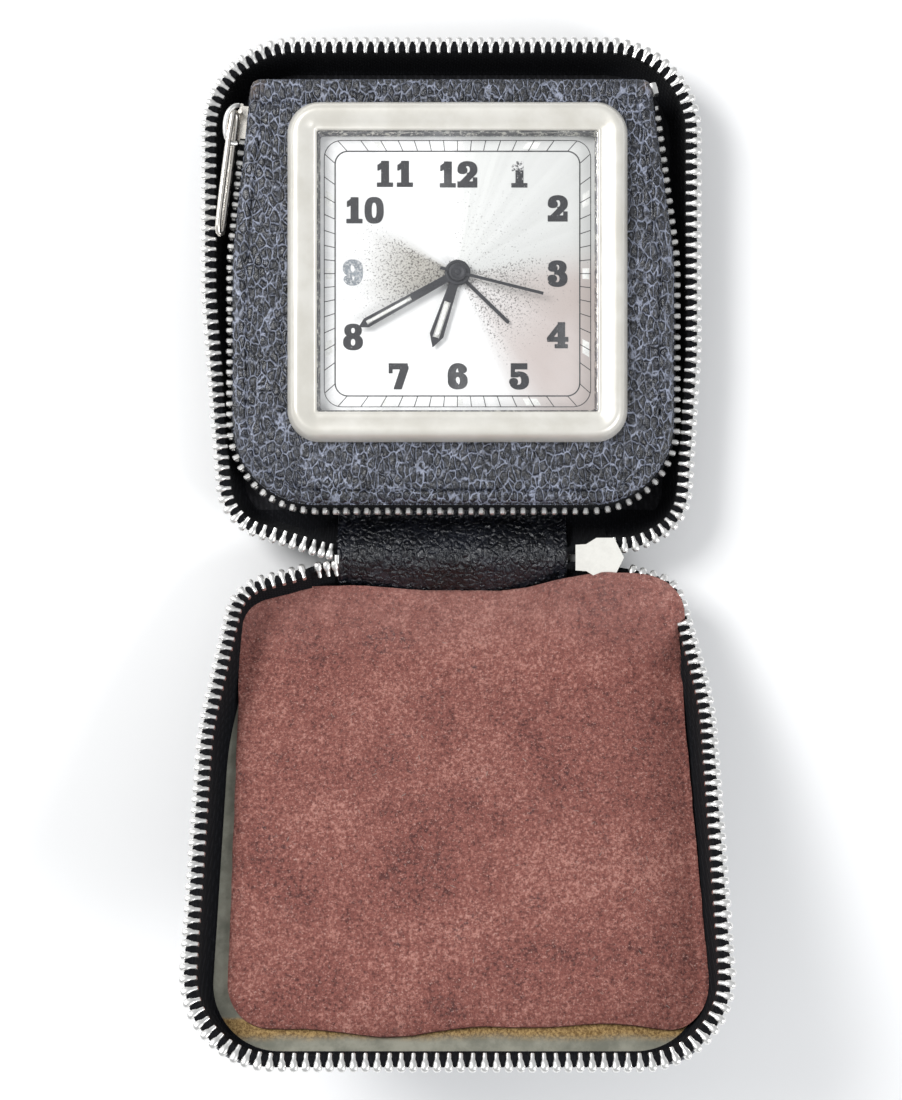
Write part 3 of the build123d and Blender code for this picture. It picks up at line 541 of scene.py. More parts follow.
def swept(name, look, rim, section, level, body, replaced=(), sway=0.0, seed=0.0):
    """A strip along a line. The section's points are (inward, height); sway bends it softly."""
    points, ahead, _ = rim
    inside = inward_of(ahead)
    count, around = len(points), len(section)
    grid = np.zeros((count, around, 3))
    highest = max(height for _, height in section)
    lowest = min(height for _, height in section)
    for i in range(count):
        lean = sway * noise.noise(Vector((i * 0.045, seed, 0)))
        for j, (inward, height) in enumerate(section):
            share = (height - lowest) / (highest - lowest)
            at = points[i] + inside[i] * (inward + lean * share * (1.2 - share))
            grid[i, j] = level(at[0], at[1], height)
    return piece(name, grid.reshape(-1, 3), tube(count, around), look, body, replaced,
                 sharp=50)


def repeated(name, look, shape, places, body, replaced=()):
    """Many copies of a lofted shape. Each place is (origin, three axes as rows)."""
    points, faces = [], []
    for number, (origin, axes) in enumerate(places):
        points.append(shape[0] @ np.asarray(axes) + np.asarray(origin))
        start = number * len(shape[0])
        faces += [tuple(start + k for k in face) for face in shape[1]]
    return piece(name, np.concatenate(points), faces, look, body, replaced, sharp=40)


def lofted(stations, around):
    """Points and faces through stations of (along, half width, half height) and maybe a lift."""
    squareness = 0.6
    points = []
    for along, wide, high, *lift in stations:
        for k in range(around):
            a = 2 * pi * (k + 0.5) / around
            c, s = cos(a), sin(a)
            points.append((wide * abs(c) ** squareness * (1 if c > 0 else -1), along,
                           high * abs(s) ** squareness * (1 if s > 0 else -1) + sum(lift)))
    return np.array(points), tube(len(stations), around)


def signed_distance(outline, spots):
    """Distance of spots from a closed outline, negative inside it."""
    result = np.full(len(spots), 1e9)
    inside = np.zeros(len(spots), bool)
    x, y = spots[:, 0], spots[:, 1]
    for (ax, ay), (bx, by) in zip(outline, np.roll(outline, -1, 0)):
        dx, dy = bx - ax, by - ay
        share = np.clip(((x - ax) * dx + (y - ay) * dy) / (dx * dx + dy * dy + 1e-12), 0, 1)
        result = np.minimum(result, np.hypot(x - ax - share * dx, y - ay - share * dy))
        if ay != by:
            crosses = ((ay > y) != (by > y)) & (x < (bx - ax) * (y - ay) / (by - ay) + ax)
            inside ^= crosses
    return np.where(inside, -result, result)


def cut_out(field, low, high, cell):
    """Flat polygons covering where field(spots) is negative, with their points and rim edges."""
    across = int(round((high[0] - low[0]) / cell)) + 1
    upward = int(round((high[1] - low[1]) / cell)) + 1
    xs = low[0] + cell * np.arange(across)
    ys = low[1] + cell * np.arange(upward)
    spots = np.stack(np.meshgrid(xs, ys), -1)
    value = field(spots.reshape(-1, 2)).reshape(upward, across)
    value = np.where(np.abs(value) < cell * 0.02, -cell * 0.02, value)
    points, index, faces, used = [], {}, [], {}

    def corner(i, j):
        if (i, j) not in index:
            index[i, j] = len(points)
            points.append(tuple(spots[i, j]))
        return index[i, j]

    def crossing(a, b):
        key = (a, b) if a < b else (b, a)
        if key not in index:
            u, v = value[key[0]], value[key[1]]
            share = u / (u - v)
            p, q = spots[key[0]], spots[key[1]]
            index[key] = len(points)
            points.append(tuple(p + (q - p) * share))
        return index[key]

    for i, j in np.argwhere((value[:-1, :-1] < 0) | (value[1:, :-1] < 0)
                            | (value[:-1, 1:] < 0) | (value[1:, 1:] < 0)):
        ring = [(i, j), (i, j + 1), (i + 1, j + 1), (i + 1, j)]
        face = []
        for a, b in zip(ring, ring[1:] + ring[:1]):
            if value[a] < 0:
                face.append(corner(*a))
            if (value[a] < 0) != (value[b] < 0):
                face.append(crossing(a, b))
        faces.append(tuple(face))
        for a, b in zip(face, face[1:] + face[:1]):
            used[a, b] = True
    rim = [(a, b) for a, b in used if (b, a) not in used]
    return np.array(points), faces, rim


def thick(cut):
    """Faces of the solid between two copies of a cut-out's points, the upper one first."""
    points, faces, rim = cut
    count = len(points)
    return (list(faces) + [tuple(count + k for k in reversed(face)) for face in faces]
            + [(b, a, count + a, count + b) for a, b in rim])


def slab(name, look, cut, bottom, top, level, body, replaced=(), sharp=50):
    """A sheet between two heights over a cut-out, given for each of the cut's points."""
    x, y = cut[0].T
    shell = np.concatenate([level(x, y, top), level(x, y, bottom)])
    return piece(name, shell, thick(cut), look, body, replaced, sharp)


def ridge(value, middle, width):
    """1 where value is middle, falling softly to 0 a little over a width away."""
    return np.exp(-((value - middle) / width) ** 2)


def rolled(depth, radius):
    """How far a rounded edge lies below the surface, at a depth inside the outline."""
    short = radius - np.clip(depth, 0, radius)
    return radius - np.sqrt(np.clip(radius ** 2 - short ** 2, 0, None))


def cobbles(points, size, stretch=1.0, seed=0.0):
    """Height of pebbled grain at points: 1 on the pebbles, 0 in the furrows between."""
    heights = np.empty(len(points))
    for k, (x, y) in enumerate(points):
        near, far = noise.voronoi(Vector((x / size + seed, y / size * stretch, seed)))[0][:2]
        heights[k] = min(1.0, (far - near) * 2.6)
    return heights


def swell(points, size, seed=0.0):
    """Soft random height at points, between about -1 and 1."""
    return np.array([noise.fractal(Vector((x / size, y / size, seed)), 0.9, 2.0, 3)
                     for x, y in points])


# ---------------------------------------------------------------- zipper round the case
back_rim = rounded(BACK_RIM, BACK_RIM_RADII)
lid_rim = rounded(LID_RIM, LID_RIM_RADII)
HALVES = [("back", back_rim, on_back, "case_back"), ("lid", lid_rim, on_lid, "lid")]

# Section of the standing tape: foot, leaning wall and corded edge inside the teeth
TAPE_SECTION = [(2.9, TAPE_FOOT), (2.95, TAPE_FOOT + 0.35), (2.4, TAPE_FOOT + 0.5),
                (1.7, TAPE_FOOT + 2.0), (1.1, TAPE_FOOT + 3.8), (1.02, RIM_HEIGHT - 0.7),
                (0.95, RIM_HEIGHT + 0.28), (0.5, RIM_HEIGHT + 0.42), (0.0, RIM_HEIGHT + 0.5),
                (-0.38, RIM_HEIGHT + 0.36), (-0.5, RIM_HEIGHT), (-0.38, RIM_HEIGHT - 0.36),
                (0.0, RIM_HEIGHT - 0.5), (0.6, RIM_HEIGHT - 0.42), (0.66, RIM_HEIGHT - 1.6),
                (0.7, TAPE_FOOT + 3.5), (1.3, TAPE_FOOT + 1.8), (1.9, TAPE_FOOT)]
for (half, rim, level, body), seed in zip(HALVES, (1.0, 5.0)):
    swept(f"zip_tape_{half}_woven", black_tape, rim, TAPE_SECTION, level, body,
          [f"main_zip_tape_{half}"], sway=0.25, seed=seed)

# One tooth: legs clamped on the tape, a waist, and a wide rounded head; Y points outward
TOOTH_STATIONS = [(-1.35, 0.18, 0.3), (-1.27, 0.32, 0.5), (-0.8, 0.38, 0.58), (-0.35, 0.4, 0.64),
                  (-0.1, 0.52, 0.74), (0.2, 0.63, 0.82), (0.75, 0.66, 0.86), (1.15, 0.6, 0.8),
                  (1.38, 0.42, 0.6), (1.48, 0.16, 0.26)]
TOOTH_JITTER = 0.03     # radians of turn, and millimetres of height


def along_rim(rim, first, pitch, last=0.0):
    """Evenly spaced spots on a rim, each with its direction and the inward direction."""
    points, ahead, length = rim
    at = np.linspace(0, length, len(points))
    inside = inward_of(ahead)
    for index in range(int((length - first - last) // pitch)):
        s = first + (index + 0.5) * pitch
        yield [np.array([np.interp(s, at, values[:, k]) for k in (0, 1)])
               for values in (points, ahead, inside)]


def axes_at(level, spot, aside, along, height=0.0):
    """Axes of a small part standing on a half at spot: aside, along and upward."""
    base = level(*spot, height)
    return [level(*(spot + aside), height) - base, level(*(spot + along), height) - base,
            level(*spot, height + 1.0) - base]


def tooth_places(rim, level, height, first=0.0, last=0.0, outward=0.0):
    """Origins and axes for teeth along a rim, each a little out of true."""
    places = []
    for spot, along, inside in along_rim(rim, first, TOOTH_PITCH, last):
        out = -inside
        spin = rng.normal(0, TOOTH_JITTER)
        along, out = along * cos(spin) + out * sin(spin), out * cos(spin) - along * sin(spin)
        spot = spot + out * outward
        origin = level(spot[0], spot[1], height + rng.normal(0, TOOTH_JITTER))
        places.append((origin, axes_at(level, spot, along, out, height)))
    return places


tooth = lofted(TOOTH_STATIONS, 12)
for half, rim, level, body in HALVES:
    repeated(f"zip_teeth_{half}", nickel, tooth, tooth_places(rim, level, RIM_HEIGHT), body,
             [f"main_zip_teeth_{half}"])

# The tape's cord bulges out between the teeth
CORD_STATIONS = [(-0.6, 0.2, 0.3), (-0.3, 0.4, 0.5), (0.1, 0.42, 0.56), (0.5, 0.34, 0.46),
                 (0.7, 0.16, 0.26)]
bulge = lofted(CORD_STATIONS, 8)
for half, rim, level, body in HALVES:
    repeated(f"zip_cord_{half}", black_tape, bulge,
             tooth_places(rim, level, RIM_HEIGHT - 0.05, TOOTH_PITCH / 2), body)


def gusset(name, rim_ends, foot_ends):
    """Tape running down from a chain's end to the spine, with a corded edge along its rim.

    rim_ends and foot_ends run from the chain to the spine."""
    rows, columns, thickness, bulging = 15, 12, 0.55, 0.3
    rim, foot = [[np.array(start) * (1 - t) + np.array(end) * t for t in np.linspace(0, 1, rows)]
                 for start, end in (rim_ends, foot_ends)]
    points = []
    for depth, side in ((0.0, 1), (thickness, -1)):
        for i in range(rows):
            wall = rim[i] - foot[i]
            outward = (np.array([0.0, wall[2], -wall[1]]) / np.hypot(wall[1], wall[2])
                       * np.sign(-wall[1]))
            for v in np.linspace(0, 1, columns):
                sag = (bulging * sin(pi * v)
                       + 0.2 * noise.noise(Vector((i * 0.3, v * 3.0, bulging))))
                cord = 0.45 * ridge(v, 0.93, 0.07) * side
                points.append(foot[i] + wall * v - outward * (sag - cord + depth))
    web = piece(name, points, two_sheets(rows, columns), black_tape, None, sharp=50,
                ride=False)
    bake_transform(web)


def gusset_floor(name, low_x, high_x):
    """Cloth between the cover's straight edge and the foot of the tape, beside the spine."""
    outline = np.vstack([back_rim[0], [(20.0, -44.6), (-19.8, -44.6)]])
    inset, bottom, top = 1.7, 2.35, 2.85

    def field(spots):
        inside = signed_distance(outline, spots) + inset
        strip = np.maximum(spots[:, 1] + 36.9,
                           np.maximum(low_x - spots[:, 0], spots[:, 0] - high_x))
        return np.maximum(inside, strip)

    cut = cut_out(field, (low_x - 0.5, -44.4), (high_x + 0.5, -36.4), 0.4)
    wavy = 0.12 * swell(cut[0], 3.0, 31.0)
    slab(name, black_tape, cut, bottom + wavy, top + wavy, on_back, "case_back")


gusset_floor("zip_gusset_floor_left", -40.5, -20.0)
gusset_floor("zip_gusset_floor_right", 20.4, 40.5)
gusset("zip_gusset_back_left", [(-24.9, -43.1, 10.3), (-19.9, -44.8, 9.2)],
       [(-24.9, -40.4, 2.7), (-19.6, -39.5, 2.7)])
gusset("zip_gusset_back_right", [(27.3, -43.0, 10.3), (20.0, -44.4, 9.2)],
       [(27.3, -40.2, 2.7), (19.8, -39.5, 2.7)])
gusset("zip_gusset_lid_left", [on_lid(-24.9, -0.6, 10.3), (-19.9, -46.2, 8.9)],
       [on_lid(-24.9, -3.4, 2.7), (-19.6, -51.6, 2.6)])
gusset("zip_gusset_lid_right", [on_lid(30.7, -0.7, 10.3), (20.0, -46.4, 8.9)],
       [on_lid(30.7, -3.4, 2.7), (19.8, -51.6, 2.6)])


def end_teeth(name, heads, slope, body, replaced=()):
    """Last teeth of a chain beside the spine, from their heads' middles."""
    out = np.array([-0.2, slope, 0.15])
    out /= np.linalg.norm(out)
    along = np.array([1.0, 0.2 * slope, 0.0])
    along /= np.linalg.norm(along)
    axes = [along, out, np.cross(along, out)]
    repeated(name, nickel, tooth, [(head, axes) for head in heads], body, replaced)


end_teeth("zip_teeth_back_end", [(-23.8, -43.5, 10.0), (-22.3, -43.9, 9.8), (-20.9, -44.2, 9.6)],
          -1.0, "spine_back", ["main_zip_bottom_stop"])
end_teeth("zip_teeth_lid_end", [(-22.9, -47.5, 9.2), (-21.4, -47.3, 9.1), (-20.0, -47.2, 9.0)],
          1.0, "spine_lid")
plate = lofted([(-0.8, 0.3, 0.4), (-0.72, 0.42, 0.5), (0.72, 0.42, 0.5), (0.8, 0.3, 0.4)], 12)
repeated("zip_bottom_stop_plate", nickel, plate, [((-19.75, -45.6, 9.5), np.eye(3))], "spine_back",
         ["main_zip_bottom_stop"])


# ---------------------------------------------------------------- leather covers
def plate_field(rim, inset, fold_edge, side):
    """Field inside a rim, inset from it and cut straight along the fold edge."""
    points = rim[0]
    beyond = fold_edge + 20 * side
    outline = np.vstack([points, [(points[-1][0], beyond), (points[0][0], beyond)]])

    def field(spots):
        rim_field = signed_distance(outline, spots) + inset
        fold_field = side * (spots[:, 1] - fold_edge)
        return np.maximum(rim_field, fold_field)
    return field


def cover(name, rim, fold_edge, side, low, high, level, body, replaced, seed):
    """Outer leather skin: grain and a stitch groove outside, turned edge all round."""
    field = plate_field(rim, 1.2, fold_edge, side)
    cut = cut_out(field, low, high, 0.42)
    depth = -field(cut[0])
    grain = cobbles(cut[0], 1.0, 0.8, seed)
    waves = swell(cut[0], 14.0, seed)
    groove = 0.3 * ridge(depth, 2.3, 0.3)
    outer = rolled(depth, 0.6) + groove + 0.1 * (1 - grain) + 0.05 * (waves + 1)
    slab(name, black_leather, cut, np.minimum(outer, 1.0), FOLD_Z, level, body,
         replaced)
    stitches(name + "_stitching", rim, fold_edge, side, level, body)


def stitches(name, rim, fold_edge, side, level, body):
    """Row of thread stitches sunk in the groove near a cover's edge."""
    stitch = lofted([(-0.95, 0.05, 0.05, 0.12), (-0.8, 0.14, 0.12, 0.02), (0.0, 0.17, 0.15, -0.04),
                     (0.8, 0.14, 0.12, 0.02), (0.95, 0.05, 0.05, 0.12)], 8)
    pitch, from_rim, sunk = 2.6, 3.9, 0.24
    places = []
    for spot, along, inside in along_rim(rim, 0.0, pitch):
        spot = spot + inside * from_rim
        if side * (spot[1] - fold_edge) <= -2.0:
            aside = np.array([along[1], -along[0]])
            places.append((level(*spot, sunk), axes_at(level, spot, aside, along)))
    repeated(name, thread_black, stitch, places, body)


cover("cover_back_leather", back_rim, BACK_FOLD_Y + 0.6, -1, (-42.5, -45), (42.5, 44), on_back,
      "case_back", ["back_cover"], 3.0)
lid_cover_rim = rounded(LID_RIM, LID_COVER_RADII)
cover("cover_lid_leather", lid_cover_rim, -1.1, 1, (-41.5, -84), (43.5, 1), on_lid, "lid",
      ["lid_cover"], 9.0)
swept("lid_edge_binding", smooth_leather, lid_cover_rim,
      [(1.3, 1.0), (1.22, 1.5), (1.22, 2.5), (1.45, 2.95), (1.95, 3.1), (2.3, 3.0), (2.2, 2.7),
       (1.75, 2.6), (1.62, 2.3), (1.62, 1.0)], on_lid, "lid", sway=0.08, seed=11.0)


# ---------------------------------------------------------------- arched spine
def spine_line():
    """Line over the arched spine from the clock half's fold to the lid's, as (y, z)."""
    y = [-36.6, -37.8, -38.9, -40.3, -42.1, -43.7, CREST[0], -46.2, -47.9, -49.4, -50.5, -51.1,
         -51.9]
    z = [2.7, 2.55, 2.85, 5.0, 7.2, 8.5, CREST[1] + 0.05, 8.55, 7.1, 5.1, 3.3, 2.1, 1.9]
    t = np.linspace(0, 1, len(y))
    fine = np.linspace(0, 1, 110)
    line = np.stack([np.interp(fine, t, y), np.interp(fine, t, z)], -1)
    for _ in range(60):
        line[1:-1] = (line[:-2] + 2 * line[1:-1] + line[2:]) / 4
    return line


def spine_skin():
    """Crinkled leather strip over both flaps of the spine, thicker along its end seams."""
    line = spine_line()
    ahead = np.gradient(line, axis=0)
    ahead /= np.hypot(*ahead.T)[:, None]
    normal = np.stack([ahead[:, 1], -ahead[:, 0]], -1)
    xs = np.linspace(SPINE_X[0], SPINE_X[1], 190)
    outer, inner = [], []
    for x in xs:
        edge = min(x - SPINE_X[0], SPINE_X[1] - x)
        seam = 0.28 * ridge(edge, 0.5, 0.45) - 0.22 * ridge(edge, 1.5, 0.35)
        flat = 1.0 - np.exp(-((edge / 2.1) ** 4))
        for j, (y, z) in enumerate(line):
            crinkle = 0.16 * noise.fractal(Vector((x * 0.55, j * 0.10, 2.0)), 0.8, 2.1, 4)
            near, far = noise.voronoi(Vector((x * 0.75, j * 0.26, 4.0)))[0][:2]
            crinkle += 0.26 * flat * min(1.0, (far - near) * 1.8)
            near, far = noise.voronoi(Vector((x * 1.5, j * 0.5, 9.0)))[0][:2]
            crinkle += 0.1 * flat * min(1.0, (far - near) * 2.0)
            for sheet, out in ((outer, 0.45 + crinkle + seam), (inner, -0.4)):
                sheet.append((x, y + normal[j][0] * out, z + normal[j][1] * out))
    points, faces = outer + inner, two_sheets(len(xs), len(line))
    skin = piece("spine_leather", points, faces, spine_leather, None,
                 ["spine_flap_back", "spine_flap_lid"], 60, ride=False)
    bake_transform(skin)


spine_skin()


# ---------------------------------------------------------------- clock panel
def ring_points(size, corner, z, number=14):
    """Corner-matched points round a rounded square about the head's centre."""
    points = []
    half = size / 2
    for sx, sy, start in ((1, 1, 0), (-1, 1, 90), (-1, -1, 180), (1, -1, 270)):
        for k in range(number):
            a = radians(start + 90 * k / (number - 1))
            points.append((HEAD[0] + sx * (half - corner) + corner * cos(a),
                           HEAD[1] + sy * (half - corner) + corner * sin(a), z))
    return points


def ring_stack(name, look, rings, body, replaced=(), sharp=40):
    """A frame through rounded squares given as (size, corner radius, height)."""
    rows = [ring_points(*ring) for ring in rings]
    faces = lattice(len(rows), len(rows[0]), close_rows=True, close_columns=True)
    return piece(name, sum(rows, []), faces, look, body, replaced, sharp)


def panel_outline():
    """Closed outline of the leather face, with its top edge rolled over the hinge."""
    points, _, _ = rounded(PANEL_EDGE, PANEL_RADII, 0.8)
    top = [(-34.05, 35.0), (-33.7, 35.7), (-32.9, 36.1), (-31.8, PANEL_TOP), (31.8, PANEL_TOP),
           (32.9, 36.1), (33.7, 35.7), (34.05, 35.0)]
    return np.vstack([points, top])


def panel_skin():
    """Leather face: pebbled field, smooth fold along the top, crease inside a puffed border."""
    outline = panel_outline()
    window = np.array([p[:2] for p in ring_points(BEZEL_SIZE - 3.2, 4.2, 0)])

    def field(spots):
        return np.maximum(signed_distance(outline, spots), -signed_distance(window, spots))

    cut = cut_out(field, (-38.2, -37.2), (39.0, 37.0), 0.24)
    spots = cut[0]
    depth = -signed_distance(outline, spots)
    along_top = PANEL_TOP - spots[:, 1]
    wander = 0.25 * swell(spots, 6.0, 2.0)
    grain = cobbles(spots, 0.95, 0.5, 6.0)
    fine = cobbles(spots, 0.45, 0.6, 8.0)
    top_fold = 1 / (1 + np.exp((along_top - 3.7 + wander) * 3.0))
    border = 1 / (1 + np.exp((depth - 2.3 + wander) * 4.0))
    pebble = 0.27 * grain * (0.65 + 0.35 * swell(spots, 5.0, 4.0)) + 0.09 * fine
    pebble *= (1 - 0.8 * top_fold) * (1 - 0.55 * border)
    crease = 0.36 * ridge(depth + wander, 2.45, 0.22) * (1 - top_fold)
    fold_line = 0.2 * ridge(along_top + wander, 3.8, 0.3)
    puff = 0.14 * np.sin(np.clip(depth / 2.4, 0, 1) * pi)
    slope = 0.5 * np.clip((2.6 - depth) / 2.6, 0, 1) ** 1.5 * (1 - top_fold)
    top = (PANEL_FACE_Z - 0.12 - rolled(depth, 0.85) - slope + pebble - crease - fold_line + puff
           + 0.08 * swell(spots, 16.0, 1.0))
    slab("panel_leather_skin", panel_leather, cut, PANEL_FACE_Z - 0.95, top, on_back,
         "clock_panel", ["panel_leather"])


panel_skin()
panel_rim = rounded(PANEL_EDGE, PANEL_RADII, 0.5)
swept("panel_side_skin", smooth_leather, panel_rim,
      [(1.75, 10.95), (1.3, 10.85), (0.62, 11.0), (0.5, 11.6), (0.42, 13.0), (0.5, 14.05),
       (0.9, 14.12), (1.75, 14.12)], on_back, "clock_panel",
      ["panel_side_leather"], sway=0.12, seed=3.0)
swept("tray_wall_skin", smooth_leather, panel_rim,
      [(2.0, 2.65), (1.95, 7.6), (1.3, 7.72), (0.62, 7.65), (0.55, 5.0), (0.6, 2.65)], on_back,
      "case_back", ["inner_tray_wall"], sway=0.1, seed=8.0)


def hinge_band():
    """Leather strip from the back up to the panel's top edge, which the panel swings on."""
    line = [(36.75, 2.65), (36.8, 6.0), (36.75, 8.8), (36.6, 10.0), (36.35, 11.4), (36.1, 13.0),
            (35.9, 14.2)]
    xs = np.linspace(-33.0, 33.0, 67)
    points = []
    for inner in (0.0, 0.7):
        for x in xs:
            for k, (y, z) in enumerate(line):
                bow = 0.12 * noise.noise(Vector((x * 0.12, k * 0.5, 3.0)))
                points.append((x, y - inner + bow, z))
    band = piece("panel_hinge_band", points, two_sheets(len(xs), len(line)), smooth_leather, None,
                 ["panel_hinge_leather"], 60, ride=False)
    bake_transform(band)


hinge_band()

# The panel's own zipper: leaning tapes and small teeth in two rows
swept("panel_zip_tape_upper", black_tape, panel_rim,
      [(0.5, 12.9), (0.3, 12.9), (0.05, 11.6), (-0.45, 10.75), (-0.75, 10.5), (-0.75, 10.1),
       (-0.3, 10.1), (0.3, 10.6), (0.5, 11.2)], on_back, "clock_panel",
      ["inner_zip_tape_panel"])
swept("panel_zip_tape_lower", black_tape, panel_rim,
      [(0.5, 5.3), (0.2, 5.3), (0.05, 8.0), (-0.45, 8.5), (-0.75, 8.7), (-0.75, 9.1),
       (-0.3, 9.1), (0.3, 8.8), (0.5, 8.2)], on_back, "case_back",
      ["inner_zip_tape_tray"])
UPPER_ROW_Z, LOWER_ROW_Z = 10.28, 8.93
SMALL_TOOTH_OUT = 0.72
small_tooth = lofted([(-0.5, 0.3, 0.3), (-0.42, 0.46, 0.52), (0.0, 0.48, 0.58), (0.66, 0.5, 0.6),
                      (0.86, 0.36, 0.42)], 8)
repeated("panel_zip_teeth_upper", nickel, small_tooth,
         tooth_places(panel_rim, on_back, UPPER_ROW_Z, first=3.0, outward=SMALL_TOOTH_OUT),
         "clock_panel", ["inner_zip_teeth_panel"])
# The row stops short of the parked slider
repeated("panel_zip_teeth_lower", nickel, small_tooth,
         tooth_places(panel_rim, on_back, LOWER_ROW_Z, 1.0, last=9.5, outward=SMALL_TOOTH_OUT),
         "case_back", ["inner_zip_teeth_tray"])

end_stop = lofted([(-1.1, 0.5, 0.8), (-0.95, 0.72, 1.05), (0.0, 0.78, 1.12), (0.95, 0.72, 1.05),
                   (1.1, 0.5, 0.8)], 12)
repeated("panel_zip_end_stop", nickel, end_stop,
         [((34.8, 35.2, 11.1), [(0.96, 0.28, 0.0), (-0.28, 0.96, 0.0), (0.0, 0.0, 1.0)])],
         "clock_panel")


def bent_rod(name, look, path, section, body, replaced=(), closed=False):
    """A rod of a flattened round section along a path in space; section is (across, up)."""
    path = np.asarray(path, float)
    ahead = np.roll(path, -1, 0) - np.roll(path, 1, 0)
    if not closed:
        ahead[0], ahead[-1] = path[1] - path[0], path[-1] - path[-2]
    ahead /= np.linalg.norm(ahead, axis=1)[:, None]
    around = 10
    points = []
    for spot, forward in zip(path, ahead):
        aside = np.cross(forward, (0.0, 0.0, 1.0))
        aside /= np.linalg.norm(aside)
        upward = np.cross(aside, forward)
        for k in range(around):
            a = 2 * pi * k / around
            points.append(spot + aside * section[0] * cos(a) + upward * section[1] * sin(a))
    faces = lattice(len(path), around, True, True) if closed else tube(len(path), around)
    return piece(name, points, faces, look, body, replaced, sharp=60)


def smooth_path(corners, count, closed=False):
    """Points along a line with its corners softened."""
    line = np.asarray(corners, float)
    for _ in range(3):
        after = np.roll(line, -1, 0)
        cut = np.stack([0.75 * line + 0.25 * after, 0.25 * line + 0.75 * after], 1).reshape(-1, 3)
        line = cut if closed else np.vstack([line[:1], cut[:-2][1:], line[-1:]])
    if closed:
        line = np.vstack([line, line[:1]])
    at = np.concatenate([[0], np.cumsum(np.linalg.norm(np.diff(line, axis=0), axis=1))])
    spots = np.linspace(0, at[-1], count + 1 if closed else count)
    made = np.stack([np.interp(spots, at, line[:, k]) for k in range(3)], -1)
    return made[:-1] if closed else made


bent_rod("inner_slider_bail", nickel, smooth_path(
    [(-36.2, 32.0, 13.3), (-36.9, 31.7, 14.1), (-38.0, 30.6, 14.4), (-38.5, 28.6, 14.3),
     (-38.4, 26.4, 13.9), (-37.6, 25.4, 13.2), (-36.6, 25.6, 12.9)], 34), (0.42, 0.34),
    "inner_slider")
bent_rod("inner_pull_loop", copper_worn, smooth_path(
    [(-36.95, 31.0, 13.75), (-37.3, 30.4, 13.95), (-38.5, 22.0, 13.9), (-39.75, 12.0, 13.6),
     (-39.85, 10.3, 13.1), (-39.4, 10.0, 12.3), (-39.1, 11.6, 12.0), (-37.8, 21.5, 12.2),
     (-36.65, 30.4, 12.5)], 90, closed=True), (0.5, 0.5), "inner_pull",
    ["inner_pull_tab"], closed=True)

# ---------------------------------------------------------------- bezel
# Rings of the bezel and of the dark edge in its opening, dark for painted shade on the bezel's
# inner wall and worn in specks:
# how much larger than the opening or than the bezel, corner radius and height
BEZEL_FACE = [(0.0, 0.35, 14.15), (0.0, 0.35, 16.5), (0.1, 0.35, 17.15), (0.4, 0.4, 17.36),
              (0.8, 0.5, 17.3), (1.2, 0.7, 17.28), (2.6, 1.5, 17.62), (4.4, 2.5, 17.98),
              (5.8, 3.4, 18.16), (6.6, 3.9, 18.2), (7.4, 4.4, 18.12), (8.4, 4.8, 17.75),
              (9.2, 5.1, 17.15), (9.8, 5.3, 16.4)]
BEZEL_FOOT = [(0.0, 5.4, 15.7), (0.0, 5.4, 15.14), (-0.8, 5.0, 15.1), (-4.0, 3.0, 15.1),
              (-4.0, 3.0, 14.15)]
WINDOW_EDGE = [(-0.02, 0.35, 14.12), (-0.02, 0.35, 16.75), (-0.3, 0.4, 16.7), (-0.3, 0.4, 15.4),
               (-0.7, 0.6, 14.9), (-0.7, 0.6, 14.12)]


def larger(size, rings):
    return [(size + growth, corner, z) for growth, corner, z in rings]


ring_stack("bezel_frame", bezel_metal,
           larger(BEZEL_OPENING, BEZEL_FACE) + larger(BEZEL_SIZE, BEZEL_FOOT),
           "clock_panel", ["bezel"], sharp=70)
ring_stack("window_edge", window_edge_shade_metal, larger(BEZEL_OPENING, WINDOW_EDGE), "clock_panel")


# ---------------------------------------------------------------- printing on the dial
def ribbon(points, width, z, closed=True):
    """Flat line of ink through points, as mesh points and faces."""
    points = np.asarray(points)
    ahead = np.roll(points, -1, 0) - np.roll(points, 1, 0)
    if not closed:
        ahead[0], ahead[-1] = points[1] - points[0], points[-1] - points[-2]
    ahead /= np.hypot(*ahead.T)[:, None]
    aside = inward_of(ahead) * width / 2
    made = [(x, y, h) for p, a in zip(points, aside)
            for (x, y), h in (((p + a), z), ((p - a), z), ((p - a), z - 0.03), ((p + a), z - 0.03))]
    faces = lattice(len(points), 4, close_rows=closed, close_columns=True)
    if not closed:
        faces += [(0, 1, 2, 3), tuple(4 * len(points) - k for k in (1, 2, 3, 4))]
    return made, faces


def joined(name, parts, look, body):
    """One piece from several lists of points and faces."""
    points, faces = [], []
    for some, their_faces in parts:
        faces += [tuple(len(points) + k for k in face) for face in their_faces]
        points += list(some)
    return piece(name, points, faces, look, body, sharp=30)


TRACK_OUT = 45.4
TRACK_IN = 41.7


def on_square(angle, size, corner):
    """Where a ray from the dial's centre, clockwise from twelve, meets a rounded square."""
    direction = np.array([sin(radians(angle)), cos(radians(angle))])
    half = size / 2
    low, high = 0.0, size
    for _ in range(40):
        middle = (low + high) / 2
        over = np.maximum(np.abs(direction * middle) - (half - corner), 0)
        outside = np.hypot(*over) > corner
        low, high = (low, middle) if outside else (middle, high)
    return direction * low + np.array(HEAD)


